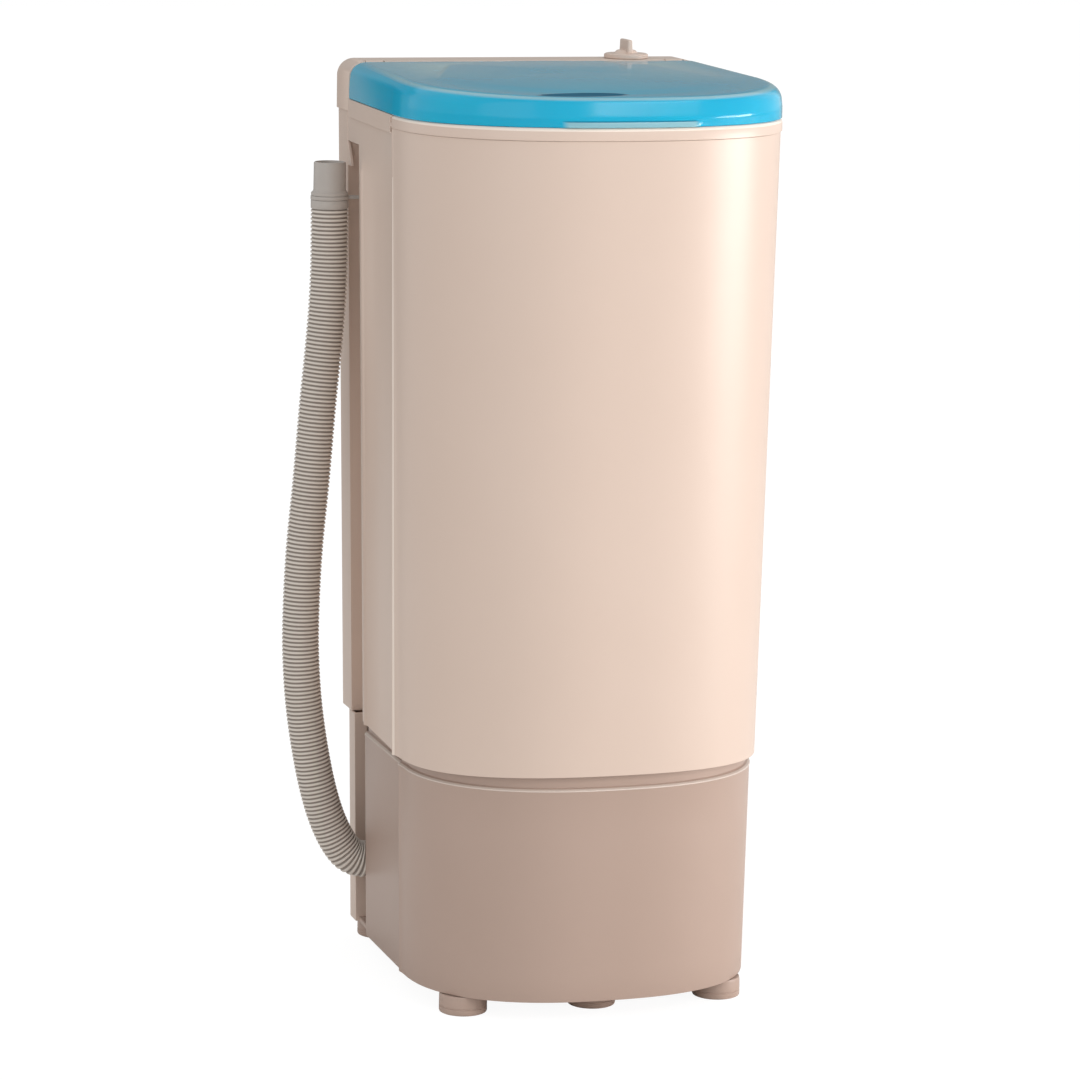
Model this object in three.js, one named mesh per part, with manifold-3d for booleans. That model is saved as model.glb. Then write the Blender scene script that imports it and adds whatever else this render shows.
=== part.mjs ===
// A free-standing laundry spin dryer with a rounded front, a hinged clear lid and a side drain hose.
// Millimetres. +Z is up, the front faces -Y, and the floor is z = 0 under the middle of the body.
import * as THREE from 'three';
import { mergeVertices } from 'three/addons/utils/BufferGeometryUtils.js';
import Module from 'manifold-3d';

const wasm = await Module();
wasm.setup();

// Driving dimensions of the casing.
const bodyHalfWidth = 170; // at the rim, where the sides meet the rounded front
const rearHalfWidth = bodyHalfWidth - 6.5; // at the rim, at the rear
const frontReach = 183; // from the middle to the front of the rim
const rearReach = 183; // from the middle to the back of the rear panel
const cornerY = -36.6; // where the sides meet the front
const frontPower = 2.42; // exponent of the front's superellipse
const frontSteps = 18;
const rimTop = 773; // top of the deck under the lid
const rimHeight = 11;
const rimInset = 1.2; // the casing's step back from the rim above it
const seamZ = 214; // bottom edge of the upper casing
const seamInset = 10.2; // draft of the casing from the rim down to the seam
const seamArch = 5; // how far the seam rises at the front
const wall = 2.5; // moulded walls
const fit = 0.3; // gap between pieces that touch
const panelStep = 1.2; // the side panels lie this far behind the front panel
const stepRun = 1.5; // length of that step along the side
const shellRear = rearReach - 72; // rear edge of the side panels
const shellRearRadius = 12;
const channelDepth = 15; // hose channel beside the rear panel
const flangeFront = rearReach - 36; // front edge of the rear panel's flange
const rearCornerRadius = 4;

// Base.
const footHeight = 17.4;
const footRadius = 21;
const baseTop = seamZ - 8; // ledge of the base's outer wall
const baseTopInset = 14.2;
const baseBottomInset = 17;
const neckInset = 17.5; // recessed band between the ledge and the seam
const collarBottom = seamZ + 7;
const collarTop = collarBottom + 11;
const baseFloor = 3.6;
const baseWallInset = 20.5; // inside of the base's walls
const baseRearRadius = 28;
const baseChannelFront = rearReach - 88;
const baseChannelX = bodyHalfWidth - 53; // floor of the base's hose recess
const plinthTop = 22;
const baseRear = rearReach - 11;
const coverFront = rearReach - 43; // front edge of the service cover's flange
const coverReturn = 12; // how far that edge turns in
const [footX, footFront, footRear] = [bodyHalfWidth - 54, 75.6 - frontReach, rearReach - 24.5];
const footPlaces = [[-footX, footFront], [footX, footFront], [0, footFront - 2.3], [-footX - 5.5, footRear], [footX + 5.5, footRear]];

// Lid, deck strip and timer.
const lidBottom = rimTop + 0.5;
const lidEdge = lidBottom + 23; // where the lid's front edge has rounded over into its top
const lidTilt = 0.019; // rise of the lid's top towards the rear
const lidRound = 12;
const lidDome = 2.4;
const lidWall = 2.4;
const lidInset = 0.4;
const lipHalfWidth = 56;
const lipReach = 2;
const lipHeight = 5;
const stripFront = rearReach - 45.5;
const lidRear = stripFront - 1;
const stripTop = rimTop + 33;
const stripRadius = 15;
const hingeY = stripFront + 3.5;
const hingeZ = stripTop - 3.5;
const hingeX = bodyHalfWidth - 30;
const lugHalfWidth = 8;
const lugRadius = 4;
const pinRadius = 2;
const pinClearance = 0.1;
const pocketClearance = 1.2;
const knobX = bodyHalfWidth - 69;
const knobY = rearReach - 23;
const knobRadius = 20;
const knobSkirt = 4.5;
const knobHub = [10, 7.5]; // radius and height
const knobTop = stripTop + 17;
const knobFin = [5, 26];
const timerShaftRadius = 3;
const timerSize = [40, 32, 26];

// Tub, basket and drive, all about one upright axis.
const tubRadius = (bodyHalfWidth + frontReach) / 2 - 35.5;
const drumY = tubRadius + 20 - frontReach;
const basketRadius = tubRadius - 17.5;
const mouthRadius = basketRadius - 11.5;
const mouthWall = 3;
const mouthDepth = 32;
const basketWall = 1;
const tubBottom = seamZ + 94;
const basketBottom = tubBottom + 32;
const basketTop = rimTop - 31;
const basketFloor = 2;
const basketLip = 4.5;
const holeColumns = 12; // holes round the basket, in four rows
const holeRows = 4;
const holeRadius = 4;
const tubWall = 3;
const tubFlange = 9;
const sealHole = 22;
const shaftRadius = 6;
const shaftBottom = 67;
const shaftTop = basketBottom + 28;
const shaftGap = 0.15;
const hubRadius = 40;
const brakeRadius = 45;
const brakeHeight = 22;
const plateRadius = 92;
const plateBottom = 66;
const plateThickness = 4;
const motorRadius = 60;
const motorHeight = 114;
const motorWall = 2.2;
const brakeBottom = plateBottom + plateThickness + motorHeight + 16;
const bearingRadius = 13;
const bearingHeight = 8;
const statorRadius = 36;
const rotorRadius = 34;
const rotorHeight = 44;
const springCircle = 78;
const springRadius = 10;
const springWire = 1.5;
const springTurns = 3;
const brakePivot = 54; // from the drum's axis
const shoeGap = 4.4;
const leverSweep = 75; // degrees round the brake drum

// Drain.
const outlet = [-80, drumY + 74];
const pipeRadius = 14;
const pipeBore = 11;
const hoseY = shellRear + 4;
const hoseZ = 83.5;
const hoseRadius = 16.75;
const hoseRibDepth = 2.2;
const hoseWall = 1.2;
const hosePitch = 3.68;
const hoseSides = 8;
const cuffX = -bodyHalfWidth - 13;
const cuffY = shellRear + 16.5;
const cuffBottom = rimTop - 96.5;
const cuffCollar = cuffBottom + 13.5;
const cuffTop = cuffCollar + 28;
const cuffRadius = 14.5;
const cuffBore = 12.5;
const glandFlange = 2;

const group = new THREE.Group();

function addMesh(name, geometry, colour, roughness, metalness = 0) {
  geometry.computeVertexNormals();
  const material = new THREE.MeshStandardMaterial({ color: colour, roughness, metalness });
  const mesh = new THREE.Mesh(geometry, material);
  mesh.name = name;
  group.add(mesh);
  return mesh;
}

const cream = '#cdb9a5';
const taupe = '#a3948a';
const lidBlue = '#0092bf';
const hoseGrey = '#aca6a0';
const tubGrey = '#b9bcbc';
const steel = '#b6b8ba';
const darkSteel = '#5a5d60';
const rubber = '#2c2c2e';

// Turns a closed geometry into a solid for cutting and joining.
function toSolid(geometry) {
  const bare = geometry.clone();
  bare.deleteAttribute('normal');
  bare.deleteAttribute('uv');
  const merged = mergeVertices(bare, 1e-4);
  return new wasm.Manifold(new wasm.Mesh({
    numProp: 3,
    vertProperties: new Float32Array(merged.attributes.position.array),
    triVerts: new Uint32Array(merged.index.array),
  }));
}

function toGeometry(solid) {
  const result = solid.getMesh();
  const geometry = new THREE.BufferGeometry();
  geometry.setAttribute('position', new THREE.BufferAttribute(new Float32Array(result.vertProperties), 3));
  geometry.setIndex(new THREE.BufferAttribute(new Uint32Array(result.triVerts), 1));
  return geometry;
}

// A closed solid through rings of [x, y, z], listed upwards, each anticlockwise seen from above.
function loft(rings) {
  const count = rings[0].length;
  const index = [];
  for (let r = 0; r < rings.length - 1; r += 1) {
    for (let i = 0; i < count; i += 1) {
      const a = r * count + i;
      const b = r * count + (i + 1) % count;
      index.push(a, b, b + count, a, b + count, a + count);
    }
  }
  const cap = (ring, base, up) => {
    const contour = ring.map(([x, y]) => new THREE.Vector2(x, y));
    for (const [a, b, c] of THREE.ShapeUtils.triangulateShape(contour, [])) {
      if (up) index.push(base + a, base + b, base + c);
      else index.push(base + a, base + c, base + b);
    }
  };
  cap(rings[0], 0, false);
  cap(rings[rings.length - 1], (rings.length - 1) * count, true);
  const geometry = new THREE.BufferGeometry();
  geometry.setAttribute('position', new THREE.Float32BufferAttribute(rings.flat(2), 3));
  geometry.setIndex(index);
  return geometry;
}

// A closed wall from stations of four points: outer bottom, inner bottom, inner top and outer top.
function wallStrip(positions) {
  const index = [];
  const quad = (a, b, c, d) => index.push(a, b, c, a, c, d);
  const last = positions.length / 3 - 4;
  for (let k = 0; k < last; k += 4) {
    for (let i = 0; i < 4; i += 1) {
      const j = (i + 1) % 4;
      quad(k + i, k + j, k + 4 + j, k + 4 + i);
    }
  }
  quad(0, 3, 2, 1);
  quad(last, last + 1, last + 2, last + 3);
  const geometry = new THREE.BufferGeometry();
  geometry.setAttribute('position', new THREE.Float32BufferAttribute(positions, 3));
  geometry.setIndex(index);
  return geometry;
}

const atHeight = (points, z) => points.map(([x, y]) => [x, y, z]);

function prism(points, bottom, top) {
  return loft([atHeight(points, bottom), atHeight(points, top)]);
}

function box(low, high) {
  const geometry = new THREE.BoxGeometry(high[0] - low[0], high[1] - low[1], high[2] - low[2]);
  return geometry.translate((low[0] + high[0]) / 2, (low[1] + high[1]) / 2, (low[2] + high[2]) / 2);
}

// A solid of revolution about +Z from a profile of [radius, z].
function turned(profile, segments, closed = false) {
  const points = profile.map(([r, z]) => new THREE.Vector2(r, z));
  if (closed) points.push(points[0].clone());
  return new THREE.LatheGeometry(points, segments).rotateX(Math.PI / 2);
}

// A cylinder along x, y or z whose flats lie at the radius, so that a round pin turns in it.
function rod(axis, radius, from, to, centre, segments = 16) {
  const length = to - from;
  const geometry = new THREE.CylinderGeometry(radius, radius, length, segments);
  if (axis === 'x') geometry.rotateZ(-Math.PI / 2).translate((from + to) / 2, centre[0], centre[1]);
  if (axis === 'y') geometry.translate(centre[0], (from + to) / 2, centre[1]);
  if (axis === 'z') geometry.rotateX(Math.PI / 2).translate(centre[0], centre[1], (from + to) / 2);
  return geometry;
}

const holeRadiusFor = (radius, segments = 16) => radius / Math.cos(Math.PI / segments);

// A tube along a curve. Each ring is [distance, radius]; a bore has its own rings.
function tube(curve, sides, rings, boreRings = []) {
  const length = curve.getLength();
  const frames = 400;
  const { normals, binormals } = curve.computeFrenetFrames(frames, false);
  const positions = [];
  const ring = ([distance, radius]) => {
    const u = Math.min(1, Math.max(0, distance / length));
    const centre = curve.getPointAt(u);
    const k = Math.round(u * frames);
    const start = positions.length / 3;
    for (let i = 0; i < sides; i += 1) {
      const angle = (2 * Math.PI * i) / sides;
      const offset = normals[k].clone().multiplyScalar(Math.cos(angle) * radius);
      offset.addScaledVector(binormals[k], Math.sin(angle) * radius);
      positions.push(centre.x + offset.x, centre.y + offset.y, centre.z + offset.z);
    }
    return start;
  };
  const outer = rings.map(ring);
  const inner = boreRings.map(ring);
  const index = [];
  const quad = (a, b, c, d) => index.push(a, b, c, a, c, d);
  const skin = (starts, outward) => {
    for (let r = 0; r < starts.length - 1; r += 1) {
      for (let i = 0; i < sides; i += 1) {
        const j = (i + 1) % sides;
        const [a, b] = [starts[r], starts[r + 1]];
        if (outward) quad(a + i, a + j, b + j, b + i);
        else quad(a + i, b + i, b + j, a + j);
      }
    }
  };
  skin(outer, true);
  skin(inner, false);
  const first = outer[0];
  const last = outer[outer.length - 1];
  for (let i = 0; i < sides; i += 1) {
    const j = (i + 1) % sides;
    if (inner.length > 0) {
      const innerLast = inner[inner.length - 1];
      quad(first + i, inner[0] + i, inner[0] + j, first + j);
      quad(last + i, last + j, innerLast + j, innerLast + i);
    } else if (i > 0 && i < sides - 1) {
      index.push(first, first + j, first + i, last, last + i, last + j);
    }
  }
  const geometry = new THREE.BufferGeometry();
  geometry.setAttribute('position', new THREE.Float32BufferAttribute(positions, 3));
  geometry.setIndex(index);
  return geometry;
}

function smoothCurve(points) {
  return new THREE.CatmullRomCurve3(points.map((p) => new THREE.Vector3(...p)), false, 'centripetal');
}

function evenRings(length, steps, radius) {
  return Array.from({ length: steps + 1 }, (_, i) => [(length * i) / steps, radius]);
}

// ---- The casing's outline in plan ----

const mirrored = (points) => points.map(([x, y]) => [-x, y]).reverse();

// Half-width of the rim at a place along the side.
function sideX(y) {
  const share = (y - cornerY) / (rearReach - cornerY);
  return bodyHalfWidth + (rearHalfWidth - bodyHalfWidth) * share;
}

// The rounded front, from the left corner to the right one.
function frontCurve(inset, steps = frontSteps) {
  const points = [];
  for (let i = 0; i <= steps; i += 1) {
    const angle = Math.PI * (1 - i / steps);
    const along = Math.sign(Math.cos(angle)) * Math.abs(Math.cos(angle)) ** (2 / frontPower);
    const out = Math.abs(Math.sin(angle)) ** (2 / frontPower);
    points.push([(bodyHalfWidth - inset) * along, cornerY - (frontReach + cornerY - inset) * out]);
  }
  return points;
}

function arc(centreX, centreY, radius, fromDegrees, toDegrees, steps) {
  return Array.from({ length: steps + 1 }, (_, i) => {
    const angle = THREE.MathUtils.degToRad(fromDegrees + ((toDegrees - fromDegrees) * i) / steps);
    return [centreX + radius * Math.cos(angle), centreY + radius * Math.sin(angle)];
  });
}

// The whole outline: front, sides that may step in behind the front, and a rear edge with round corners.
function outline(inset, rear, radius, cornerSteps = 3, sideStep = 0) {
  const x = sideX(rear - radius) - inset - sideStep;
  const side = [
    [sideX(cornerY + stepRun) - inset - sideStep, cornerY + stepRun],
    ...arc(x - radius, rear - radius, radius, 0, 90, cornerSteps),
  ];
  return [...frontCurve(inset), ...side, ...mirrored(side)];
}

const rimBottom = rimTop - rimHeight;
const bodyInset = (z) => rimInset + ((rimBottom - z) * (seamInset - rimInset)) / (rimBottom - seamZ);
const baseInset = (z) => baseBottomInset + ((baseTopInset - baseBottomInset) * (z - footHeight)) / (baseTop - footHeight);

// ---- Upper casing: a wall round the front and both sides, turned in at its rear edges ----

const trimBottom = rimBottom - 5;
const tabBottom = rimTop - 36;

function shellPath(z, inward) {
  const inset = bodyInset(z);
  const x = sideX(shellRear) - inset - panelStep;
  const right = [
    [sideX(cornerY + stepRun) - inset - panelStep - inward, cornerY + stepRun],
    ...arc(x - shellRearRadius, shellRear - shellRearRadius, shellRearRadius - inward, 0, 90, 4),
    [sideX(shellRear) - inset - channelDepth - wall, shellRear - inward],
  ];
  return [...mirrored(right), ...frontCurve(inset + inward), ...right];
}

const seamHeight = (y) => seamZ + seamArch * Math.max(0, (cornerY - y) / (frontReach + cornerY)) ** 2;
const shellTopHeight = (y) => (y > cornerY + stepRun / 2 ? trimBottom - fit : rimBottom - fit);

// A drafted wall between two levels: its path at each level, and the heights of its edges.
function draftedWall(path, low, high, lowAt, highAt) {
  const [outerLow, innerLow, outerHigh, innerHigh] = [path(low, 0), path(low, wall), path(high, 0), path(high, wall)];
  const positions = outerLow.flatMap(([x, y], i) => [
    x, y, lowAt(y), ...innerLow[i], lowAt(y), ...innerHigh[i], highAt(y), ...outerHigh[i], highAt(y),
  ]);
  return wallStrip(positions);
}

// A tab closes each hose channel's top, between the side and the rear panel.
const tabRing = (sign, z) => {
  const plan = [[shellRear - 13, 0], [flangeFront - fit, 0], [flangeFront - fit, wall], [shellRear - 13, wall]]
    .map(([y, inward]) => [sideX(y) - bodyInset(z) - panelStep - inward, y]);
  return atHeight(sign > 0 ? plan : mirrored(plan), z);
};
let bodyShell = toSolid(draftedWall(shellPath, seamZ, rimBottom, seamHeight, shellTopHeight));
for (const sign of [-1, 1]) {
  bodyShell = bodyShell.add(toSolid(loft([tabRing(sign, tabBottom), tabRing(sign, trimBottom - fit)])));
}
addMesh('body_shell', toGeometry(bodyShell), cream, 0.42);

// ---- Rear panel with its flanges and the hose channels beside them ----

function rearPath(z, inward) {
  const inset = bodyInset(z);
  const channelX = sideX(shellRear) - inset - channelDepth - inward;
  const x = sideX(rearReach - rearCornerRadius) - inset;
  const right = [
    [channelX, shellRear + fit],
    [channelX, flangeFront + inward],
    [x - inward, flangeFront + inward],
    ...arc(x - rearCornerRadius, rearReach - rearCornerRadius, rearCornerRadius - inward, 0, 90, 3),
  ];
  return [...right, ...mirrored(right)];
}

const panelBottom = seamZ + fit;
const panelTop = rimBottom - fit;
const [screwX, screwLow] = [rearHalfWidth - 23.5, rearHalfWidth - 29.5];
const screwPlaces = [
  ['left', -screwX, rimBottom - 62], ['right', screwX, rimBottom - 62],
  ['left', -screwLow, seamZ + 36], ['right', screwLow, seamZ + 36],
];
const coverScrewPlaces = [[51.5 - rearHalfWidth, plinthTop + 38], [rearHalfWidth - 51.5, plinthTop + 38]];
const screwRadius = 1.8;
const screwHead = 4;
const glandPlace = [bodyHalfWidth - 80, plinthTop + 98];
const glandNeck = 7;
let rearPanel = toSolid(draftedWall(rearPath, seamZ, rimBottom, () => panelBottom, () => panelTop));
for (const [, x, z] of screwPlaces) {
  rearPanel = rearPanel.subtract(toSolid(rod('y', screwRadius + fit, rearReach - 10, rearReach + 5, [x, z], 8)));
}
addMesh('rear_panel', toGeometry(rearPanel), cream, 0.45);

// ---- Service cover behind the base, standing on the plinth ----

function coverPath(z, inward) {
  const x = sideX(rearReach - baseRearRadius) - baseInset(z);
  const right = [
    [x - coverReturn, coverFront + inward],
    [x - inward, coverFront + inward],
    ...arc(x - baseRearRadius, rearReach - baseRearRadius, baseRearRadius - inward, 0, 90, 5),
  ];
  return [...right, ...mirrored(right)];
}

const [coverBottom, coverTop] = [plinthTop + fit, seamZ - fit];
let serviceCover = toSolid(draftedWall(coverPath, coverBottom, coverTop, () => coverBottom, () => coverTop));
for (const [x, z] of coverScrewPlaces) {
  serviceCover = serviceCover.subtract(toSolid(rod('y', screwRadius + fit, rearReach - 10, rearReach + 5, [x, z], 8)));
}
serviceCover = serviceCover.subtract(
  toSolid(rod('y', glandNeck + fit, rearReach - 10, rearReach + 5, glandPlace, 12)),
);
addMesh('service_cover', toGeometry(serviceCover), cream, 0.45);

// ---- Base ----

function baseRing(inset, z) {
  return atHeight(outline(inset, rearReach - wall - fit, baseRearRadius, 5, panelStep), z);
}

const wide = bodyHalfWidth + rearReach; // beyond the casing on every side
const channelCut = (sign, grow) => {
  const [inner, outer] = [baseChannelX - grow, wide];
  const low = [sign > 0 ? inner : -outer, baseChannelFront - grow, plinthTop - grow];
  const high = [sign > 0 ? outer : -inner, wide, collarTop + grow + 1];
  return toSolid(box(low, high));
};
const rearCut = (grow) => toSolid(box([-wide, baseRear - grow, plinthTop - grow], [wide, wide, collarTop + grow + 1]));
let baseOuter = toSolid(loft([
  baseRing(baseInset(footHeight), footHeight),
  baseRing(baseInset(baseTop), baseTop - 1),
  baseRing(baseTopInset + 0.8, baseTop),
  baseRing(neckInset, baseTop + 1),
  baseRing(neckInset, collarBottom - 2),
  baseRing(seamInset + wall + fit, collarBottom),
  baseRing(seamInset + wall + fit, collarTop),
]));
let baseInner = toSolid(loft([
  baseRing(baseWallInset, footHeight + baseFloor),
  baseRing(baseWallInset, collarBottom - 6),
  baseRing(baseWallInset - 4, collarBottom + 1),
  baseRing(baseWallInset - 4, collarTop + 5),
]));
for (const sign of [-1, 1]) {
  baseOuter = baseOuter.subtract(channelCut(sign, 0));
  baseInner = baseInner.subtract(channelCut(sign, wall + 0.5));
}
baseOuter = baseOuter.subtract(rearCut(0));
baseInner = baseInner.subtract(rearCut(wall + 0.5));
const glandHole = toSolid(rod('x', pipeRadius + 0.2 + fit, -baseChannelX - 20, -baseChannelX + 10, [hoseY, hoseZ], 12));
const base = baseOuter.subtract(baseInner).subtract(glandHole);
addMesh('base', toGeometry(base), taupe, 0.5);

footPlaces.forEach(([x, y], i) => {
  const profile = [[0, 0], [footRadius - 1.5, 0], [footRadius, 1.5], [footRadius, footHeight - fit], [0, footHeight - fit]];
  const foot = addMesh(`foot_${i + 1}`, turned(profile, 16), taupe, 0.7);
  foot.position.set(x, y, 0);
});

// ---- Top frame: rim, deck with its round mouth, and the raised strip behind the lid ----

const deckUnder = rimTop - 3;
const frameWall = 5.5;
const trimDepth = 3;
const pocket = (grow) => (sign) => toSolid(box(
  [sign * hingeX - lugHalfWidth - pocketClearance - grow, stripFront - 1, hingeZ - 14 - grow],
  [sign * hingeX + lugHalfWidth + pocketClearance + grow, hingeY + lugRadius + 1 + grow, stripTop + 1],
));
const stripWidth = sideX(rearReach);
const stripProfile = [
  ...arc(stripWidth - stripRadius, stripTop - stripRadius, stripRadius, 0, 90, 5),
  ...arc(-stripWidth + stripRadius, stripTop - stripRadius, stripRadius, 90, 180, 5),
];
const stripShape = (inset) => [
  [stripWidth - inset, rimBottom - (inset ? 1 : 0)],
  ...stripProfile.map(([x, z]) => [x * (1 - inset / stripWidth), z - inset]),
  [-stripWidth + inset, rimBottom - (inset ? 1 : 0)],
];
const stripBlock = (inset) => {
  const depth = rearReach - stripFront - 2 * inset;
  const geometry = prism(stripShape(inset), 0, depth);
  return toSolid(geometry.rotateX(Math.PI / 2).translate(0, rearReach - inset, 0));
};
const rimOutline = (inset) => outline(inset, rearReach - inset, rearCornerRadius + 2);
let frame = toSolid(prism(rimOutline(0), rimBottom, rimTop));
const stripPlan = toSolid(prism(rimOutline(0), rimBottom, stripTop + 5));
frame = frame.add(stripBlock(0).intersect(stripPlan));
let frameHollow = toSolid(prism(rimOutline(frameWall), rimBottom - 1, deckUnder));
frameHollow = frameHollow.add(stripBlock(3));
for (const sign of [-1, 1]) {
  frameHollow = frameHollow.subtract(pocket(3)(sign));
}
frame = frame.subtract(frameHollow);
for (const sign of [-1, 1]) {
  const pinHole = rod('x', holeRadiusFor(pinRadius + pinClearance), sign * hingeX - 20, sign * hingeX + 20, [hingeY, hingeZ]);
  frame = frame.subtract(pocket(0)(sign)).subtract(toSolid(pinHole));
  const trimCut = [
    [sideX(cornerY) - trimDepth, cornerY + stepRun],
    [sideX(cornerY) + 5, cornerY + stepRun],
    [sideX(stripFront) + 5, stripFront],
    [sideX(stripFront) - trimDepth, stripFront],
  ];
  const side = sign > 0 ? trimCut : mirrored(trimCut);
  frame = frame.subtract(toSolid(prism(side, rimBottom - 2, rimTop + 2)));
}
const mouth = (radius, bottom, top) => toSolid(turned([[0, bottom], [radius, bottom], [radius, top], [0, top]], 36).translate(0, drumY, 0));
frame = frame.add(mouth(mouthRadius + mouthWall, rimTop - mouthDepth, rimTop - 1));
frame = frame.subtract(mouth(mouthRadius, rimTop - mouthDepth - 5, rimTop + 5));
const switchAngle = THREE.MathUtils.degToRad(140);
const switchReach = tubRadius + tubFlange + 18.5;
const plungerPlace = [switchReach * Math.cos(switchAngle), drumY + switchReach * Math.sin(switchAngle)];
const plungerRadius = 3;
frame = frame.subtract(toSolid(rod('z', plungerRadius + 0.4, deckUnder - 5, rimTop + 5, plungerPlace, 12)));
frame = frame.subtract(toSolid(rod('z', timerShaftRadius + 1.2, stripTop - 8, stripTop + 5, [knobX, knobY], 12)));
addMesh('top_frame', toGeometry(frame), cream, 0.42);

// Trim strips that close the rim along both sides.
for (const [name, sign] of [['left', -1], ['right', 1]]) {
  const plan = [
    [sideX(cornerY) - trimDepth + fit, cornerY + stepRun + fit],
    [sideX(cornerY) - 0.2, cornerY + stepRun + fit],
    [sideX(stripFront) - 0.2, stripFront - fit],
    [sideX(stripFront) - trimDepth + fit, stripFront - fit],
  ];
  addMesh(`side_trim_${name}`, prism(sign > 0 ? plan : mirrored(plan), trimBottom, rimTop - 0.2), cream, 0.45);
}

// ---- Lid ----

const lidPlan = (inset) => outline(inset, lidRear - inset, Math.max(6 - inset * 0.03, 2));
const lidHeight = (y, above) => lidEdge + above + (y + frontReach) * lidTilt;
const lidRing = (inset, above) => lidPlan(inset).map(([x, y]) => [x, y, lidHeight(y, above)]);
const domeAt = (inset) => lidDome * (1 - (1 - inset / 125) ** 2);
const [roundStart, roundEnd] = [lidInset + 0.8, lidInset + 0.8 + lidRound];
const roundRing = (radius, degrees) => {
  const angle = THREE.MathUtils.degToRad(degrees);
  return lidRing(roundEnd - radius * Math.cos(angle), radius * Math.sin(angle) - lidRound);
};
let lid = toSolid(loft([
  atHeight(lidPlan(lidInset), lidBottom),
  ...[0, 30, 60, 90].map((degrees) => roundRing(lidRound, degrees)),
  lidRing(40, domeAt(30)),
  lidRing(80, domeAt(75)),
  lidRing(120, lidDome),
]));
lid = lid.subtract(toSolid(loft([
  atHeight(lidPlan(lidInset + lidWall), lidBottom - 1),
  ...[0, 45, 90].map((degrees) => roundRing(lidRound - lidWall, degrees)),
  lidRing(40, domeAt(30) - lidWall),
  lidRing(80, domeAt(75) - lidWall),
  lidRing(120, lidDome - lidWall),
])));
const lipPoints = frontCurve(-lipReach, 40).filter(([x]) => Math.abs(x) <= lipHalfWidth);
const lipBack = frontCurve(lidInset + 1.5, 40).filter(([x]) => Math.abs(x) <= lipHalfWidth).reverse();
lid = lid.add(toSolid(prism([...lipPoints, ...lipBack], lidBottom, lidBottom + lipHeight)));
const plungerTop = rimTop + 6.5;
// The lid hangs on two arms, each let into its rear edge and fixed behind its rear wall.
const armShape = (sign, grow) => {
  const side = [
    [lidRear - 8 - grow, hingeZ - 12 - grow], [lidRear + grow, hingeZ - 12 - grow],
    [hingeY + lugRadius - 1.2, hingeZ - 2.8 - grow], [hingeY - lugRadius + 0.5, hingeZ + 1.5 + grow],
    [lidRear - 1.5, hingeZ - 4.5 + grow], [lidRear - 8 - grow, hingeZ - 5 + grow],
  ];
  const [from, to] = [sign * hingeX - lugHalfWidth - grow, sign * hingeX + lugHalfWidth + grow];
  const plate = prism(side, from, to);
  plate.applyMatrix4(new THREE.Matrix4().set(0, 0, 1, 0, 1, 0, 0, 0, 0, 1, 0, 0, 0, 0, 0, 1));
  return toSolid(plate).add(toSolid(rod('x', lugRadius + grow, from, to, [hingeY, hingeZ])));
};
for (const sign of [-1, 1]) {
  const side = sign > 0 ? 'right' : 'left';
  const flangeY = lidRear - roundStart - lidWall - fit;
  const flange = box(
    [sign * hingeX - lugHalfWidth - 4, flangeY - 3.3, lidBottom + 5],
    [sign * hingeX + lugHalfWidth + 4, flangeY, hingeZ - 14],
  );
  const web = box(
    [sign * hingeX - lugHalfWidth, lidRear - 9, lidBottom + 5],
    [sign * hingeX + lugHalfWidth, flangeY - 3.2, hingeZ - 7],
  );
  const bore = rod('x', holeRadiusFor(pinRadius + pinClearance), sign * hingeX - 20, sign * hingeX + 20, [hingeY, hingeZ]);
  lid = lid.subtract(armShape(sign, fit));
  const arm = armShape(sign, 0).add(toSolid(flange)).add(toSolid(web)).subtract(toSolid(bore));
  addMesh(`lid_arm_${side}`, toGeometry(arm), cream, 0.4);
  const pin = rod('x', pinRadius, sign * hingeX - 12.4, sign * hingeX + 12.4, [hingeY, hingeZ]);
  addMesh(`hinge_pin_${side}`, pin, steel, 0.3, 1);
}
const boss = rod('z', 4, plungerTop, lidHeight(plungerPlace[1], 0), plungerPlace, 10);
lid = lid.add(toSolid(boss));
addMesh('lid', toGeometry(lid), lidBlue, 0.15);

// ---- Lid switch under the deck, with its plunger ----

const switchSize = [30, 16, 24];
const switchTop = deckUnder - fit;
let lidSwitch = toSolid(box(
  [plungerPlace[0] - switchSize[0] / 2, plungerPlace[1] - switchSize[1] / 2, switchTop - switchSize[2]],
  [plungerPlace[0] + switchSize[0] / 2, plungerPlace[1] + switchSize[1] / 2, switchTop],
));
lidSwitch = lidSwitch.subtract(toSolid(rod('z', plungerRadius + fit, switchTop - 18, switchTop + 5, plungerPlace, 12)));
addMesh('lid_switch', toGeometry(lidSwitch), rubber, 0.6);
addMesh('switch_plunger', rod('z', plungerRadius, switchTop - 15, plungerTop - fit, plungerPlace, 12), '#d8d8d4', 0.5);

// ---- Timer and its knob ----

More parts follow.
